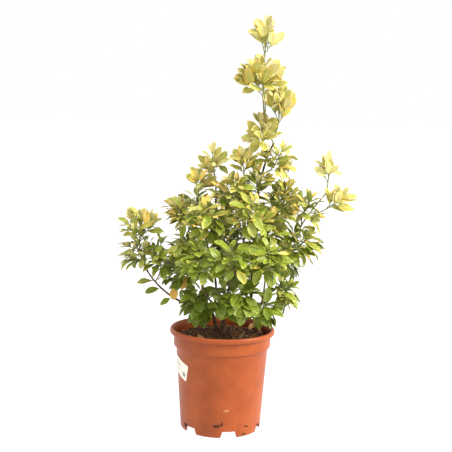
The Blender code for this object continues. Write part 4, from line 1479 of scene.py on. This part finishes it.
# turn about the pot in degrees, height and size of crumbs stuck to its wall; the lumps in the
# tops of two front drainage notches are painted shade
WALL_CRUMBS_AND_NOTCH_SHADE = (
    (-98.0, 22.5, 2.0), (-95.5, 22.0, 2.9), (-93.0, 22.5, 2.7), (-90.5, 23.5, 2.0),
    (-88.0, 24.5, 1.6), (-87.3, 27.0, 2.3), (-86.9, 29.5, 1.2), (-66.0, 22.0, 0.8),
    (-61.0, 24.0, 1.2), (-52.5, 19.0, 1.9), (-50.0, 18.5, 1.7), (-47.5, 17.0, 1.2),
    # the lumps at -147, -144.5, -150.5, -25.5 and -23 degrees, about 12 to 14 mm up, fill the tops
    # of two drainage notches as painted shade
    (-55.5, 5.5, 1.8), (-53.0, 5.0, 1.6), (-147.0, 12.0, 3.4), (-144.5, 12.8, 2.6),
    (-150.5, 14.0, 1.7), (-25.5, 12.6, 2.8), (-23.0, 12.9, 2.0), (-161.0, 47.0, 1.6),
    (-169.0, 28.0, 0.9), (40.0, 21.0, 1.4), (96.0, 24.0, 1.8), (150.0, 20.0, 1.2),
)


STUCK_SEED = 5
STUCK_SQUASH = 0.35
STUCK_LIFT = 0.1


# peat crumbs on the pot's wall, and dark lumps in two drainage notches that are painted shade
def build_wall_crumbs_and_notch_shade(dark):
    rng = random.Random(STUCK_SEED)
    heap = Heap()
    for turn, height, size in WALL_CRUMBS_AND_NOTCH_SHADE:
        angle = math.radians(turn)
        place = round_z(wall_radius(height) + STUCK_LIFT, angle, height) * MM
        shape, faces = lump(Vector(), size * MM, rng, STUCK_SQUASH)
        turned_out = Matrix.Rotation(angle, 4, "Z") @ Matrix.Rotation(math.pi / 2, 4, "Y")
        heap.add([place + turned_out @ point for point in shape], faces, 0)
    heap.piece("crumbs_on_the_wall", [dark], (), sharp=30)


FADED_SEED = 9
FADED_LOOK = ("dead_leaf", "gold", "dead_leaf", "amber", "gold", "dead_leaf")
FADED_FORM = (0.66, 0.6)
FADED_ARCH = 0.3


def build_faded_leaves(tones):
    rng = random.Random(FADED_SEED)
    heap = Heap()
    for place, ahead, face, size in FADED_LEAVES:
        shell, faces, slots = leaf_shell(size * MM, *FADED_FORM, FADED_LOOK, FADED_ARCH, rng)
        pose = posed(Vector(place) * MM, Vector(ahead).normalized(), square(face, ahead))
        heap.add([pose @ point for point in shell], faces, slots)
    heap.piece("faded_leaves", tones)


LABEL_GRID = (40, 20)
LABEL_CORNER = 2.0
LABEL_LIFT = 0.28
LABEL_CREASE = 0.12
LABEL_CREASE_SIZE = 9.0
# columns and rows of the label's grid that carry plain grey print: blocks and rules, no words
PRINT_BLOCKS = (((31, 37), (4, 9)), ((6, 26), (13, 14)), ((6, 20), (10, 11)), ((6, 23), (7, 8)))


def label_point(across, up, layer):
    """A point of the label, from shares of its length and height, bent round the pot's wall."""
    x = (across - 0.5) * LABEL_LENGTH
    y = (up - 0.5) * LABEL_HEIGHT
    inset_x = max(abs(x) - (LABEL_LENGTH / 2 - LABEL_CORNER), 0.0)
    inset_y = max(abs(y) - (LABEL_HEIGHT / 2 - LABEL_CORNER), 0.0)
    if inset_x and inset_y:
        stretch = max(inset_x, inset_y) / math.hypot(inset_x, inset_y)
        x -= math.copysign(inset_x * (1 - stretch), x)
        y -= math.copysign(inset_y * (1 - stretch), y)
    round_wall = x * math.cos(LABEL_TILT) + y * math.sin(LABEL_TILT)
    height = LABEL_MIDDLE - x * math.sin(LABEL_TILT) + y * math.cos(LABEL_TILT)
    place = Vector((x / LABEL_CREASE_SIZE, y / LABEL_CREASE_SIZE, 4.0))
    radius = (wall_radius(height) + LABEL_LIFT + layer * LABEL_THICKNESS
              + LABEL_CREASE * noise.noise(place))
    turn = LABEL_RIGHT_EDGE + (round_wall - LABEL_LENGTH / 2) / BODY_RADIUS
    return round_z(radius, turn, height) * MM


def build_label(paper, print_grey):
    """A paper sticker, its right end lower, with rounded corners."""
    across, up = LABEL_GRID
    points = [label_point(i / across, j / up, layer) for layer in (0, 1)
              for j in range(up + 1) for i in range(across + 1)]
    under, face = ([[(layer * (up + 1) + j) * (across + 1) + i for i in range(across + 1)]
                    for j in range(up + 1)] for layer in (0, 1))
    faces = []
    slots = []
    for j in range(up):
        for i in range(across):
            faces.append((face[j][i], face[j][i + 1], face[j + 1][i + 1], face[j + 1][i]))
            faces.append((under[j][i + 1], under[j][i], under[j + 1][i], under[j + 1][i + 1]))
            printed = any(a <= i < b and c <= j < d for (a, b), (c, d) in PRINT_BLOCKS)
            slots += [1 if printed else 0, 0]
    for i in range(across):
        faces.append((under[0][i], under[0][i + 1], face[0][i + 1], face[0][i]))
        faces.append((face[up][i], face[up][i + 1], under[up][i + 1], under[up][i]))
    for j in range(up):
        faces.append((face[j][0], face[j + 1][0], under[j + 1][0], under[j][0]))
        faces.append((under[j][across], under[j + 1][across], face[j + 1][across],
                      face[j][across]))
    slots += [0] * (len(faces) - len(slots))
    heap = Heap()
    heap.add(points, faces, slots)
    heap.piece("paper_label", [paper, print_grey], ("label",), sharp=50)


# ---- studio
CAMERA_PLACE = (0.0, -1.6957, 0.58868)
CAMERA_PITCH = 7.3396
CAMERA_YAW = 0.0711
CAMERA_ROLL = 1.3949
FOCAL_PIXELS = 951.73
IMAGE_WIDTH = 452
SENSOR = 36.0
FLOOR_RADIUS = 30.0
FLOOR_DROP = 0.0004
WHITE = linear("ffffff")
# name, azimuth, height, softness, power and colour of each lamp
LAMPS = (
    ("key_light", 72, 32, 30, 5.0, "fffaf0"),
    ("top_light", -10, 70, 40, 1.4, "ffffff"),
)


def build_camera():
    data = bpy.data.cameras.new("camera")
    data.sensor_width = SENSOR
    data.lens = SENSOR * FOCAL_PIXELS / IMAGE_WIDTH
    data.dof.use_dof = False
    made = put("camera", data)
    turn = (Matrix.Rotation(-math.radians(CAMERA_YAW), 4, "Z")
            @ Matrix.Rotation(math.radians(90 - CAMERA_PITCH), 4, "X")
            @ Matrix.Rotation(math.radians(CAMERA_ROLL), 4, "Z"))
    made.matrix_world = Matrix.Translation(CAMERA_PLACE) @ turn
    bpy.context.scene.camera = made


def soft_sun(name, azimuth, height, softness, power, hex_colour):
    """Even soft light from an azimuth (0 is from behind the camera, 90 from the right)."""
    data = bpy.data.lights.new(name, "SUN")
    data.angle = math.radians(softness)
    data.energy = power
    data.color = linear(hex_colour)[:3]
    turn = math.radians(azimuth)
    rise = math.radians(height)
    away = Vector((math.sin(turn) * math.cos(rise), -math.cos(turn) * math.cos(rise),
                   math.sin(rise)))
    put(name, data).rotation_euler = away.to_track_quat("Z", "Y").to_euler()


def build_studio():
    world = bpy.data.worlds.new("studio_air")
    bpy.context.scene.world = world
    world.use_nodes = True
    air = world.node_tree.nodes["Background"]
    air.inputs["Color"].default_value = WHITE
    air.inputs["Strength"].default_value = 1.0
    bpy.context.scene.view_settings.view_transform = "Standard"
    # A white acrylic sheet lit from below: no shadow shows on it, and it fills from beneath
    acrylic = finish("backlit_white_acrylic", "5a5a5a", Roughness=0.9, Emission_Color=WHITE,
                     Emission_Strength=1.0)
    mesh = bpy.data.meshes.new("studio_floor")
    shape = bmesh.new()
    bmesh.ops.create_circle(shape, cap_ends=True, segments=64, radius=FLOOR_RADIUS)
    shape.to_mesh(mesh)
    shape.free()
    mesh.materials.append(acrylic)
    floor = put("studio_floor", mesh)
    floor.location.z = -FLOOR_DROP
    for lamp in LAMPS:
        soft_sun(*lamp)


# ---- main
# how far the stand-in for the compost goes above and below its level, and its steps round
PROBE_SOIL = (3.0, -5.0)
PROBE_STEPS = 24


def main():
    build_camera()
    build_studio()
    plastic = moulded_polypropylene()
    soil = peat("damp_peat_compost", "2a180f", "57351f", 6.0)
    # peat crumbs, also used for the dark lumps of painted shade in two drainage notches
    crumb = peat("peat_crumbs", "321a10", "623a22", 3.0)
    coir = peat("coir_fibre", "6b4a2a", "94703f", 4.0)
    perlite = finish("perlite_grain", "d9d2c4", Roughness=0.9)
    paper = label_paper()
    print_grey = finish("grey_label_print", "9a948d", Roughness=0.6)
    # the last tone of each bark is a painted highlight on the crests of its ridges
    stem_bark = euonymus_bark("euonymus_stem_bark", "3a2a1c", "5d4730", "83704f")
    shoot_bark = euonymus_bark("euonymus_shoot_bark", "6a6a34", "80803f", "99965a")
    # Skin of this year's and last year's growth: smooth, olive, still green under its wax
    young_bark = finish("green_twig_skin", "83883d", Roughness=0.55, IOR=1.45)
    old_bark = finish("brown_twig_skin", "6f6238", Roughness=0.7, IOR=1.45)
    tones = leaf_finishes()
    build_pot(plastic)
    build_compost(soil)
    build_soil_litter(crumb, coir, perlite, tones)
    build_wall_crumbs_and_notch_shade(crumb)
    build_label(paper, print_grey)
    grown = grow_limbs()
    build_bark(grown, [stem_bark, shoot_bark])
    top, bottom = (SOIL_TOP + off for off in PROBE_SOIL)
    inside = COLLAR_RADIUS - WALL
    plug = [(0.0, top), (inside, top), (inside, bottom), (0.0, bottom)]
    pot_body = [turned(profile, PROBE_STEPS) for profile in (pot_profile(), plug)]
    grow_foliage(grown, tones, young_bark, old_bark, pot_body)
    build_faded_leaves(tones)


main()
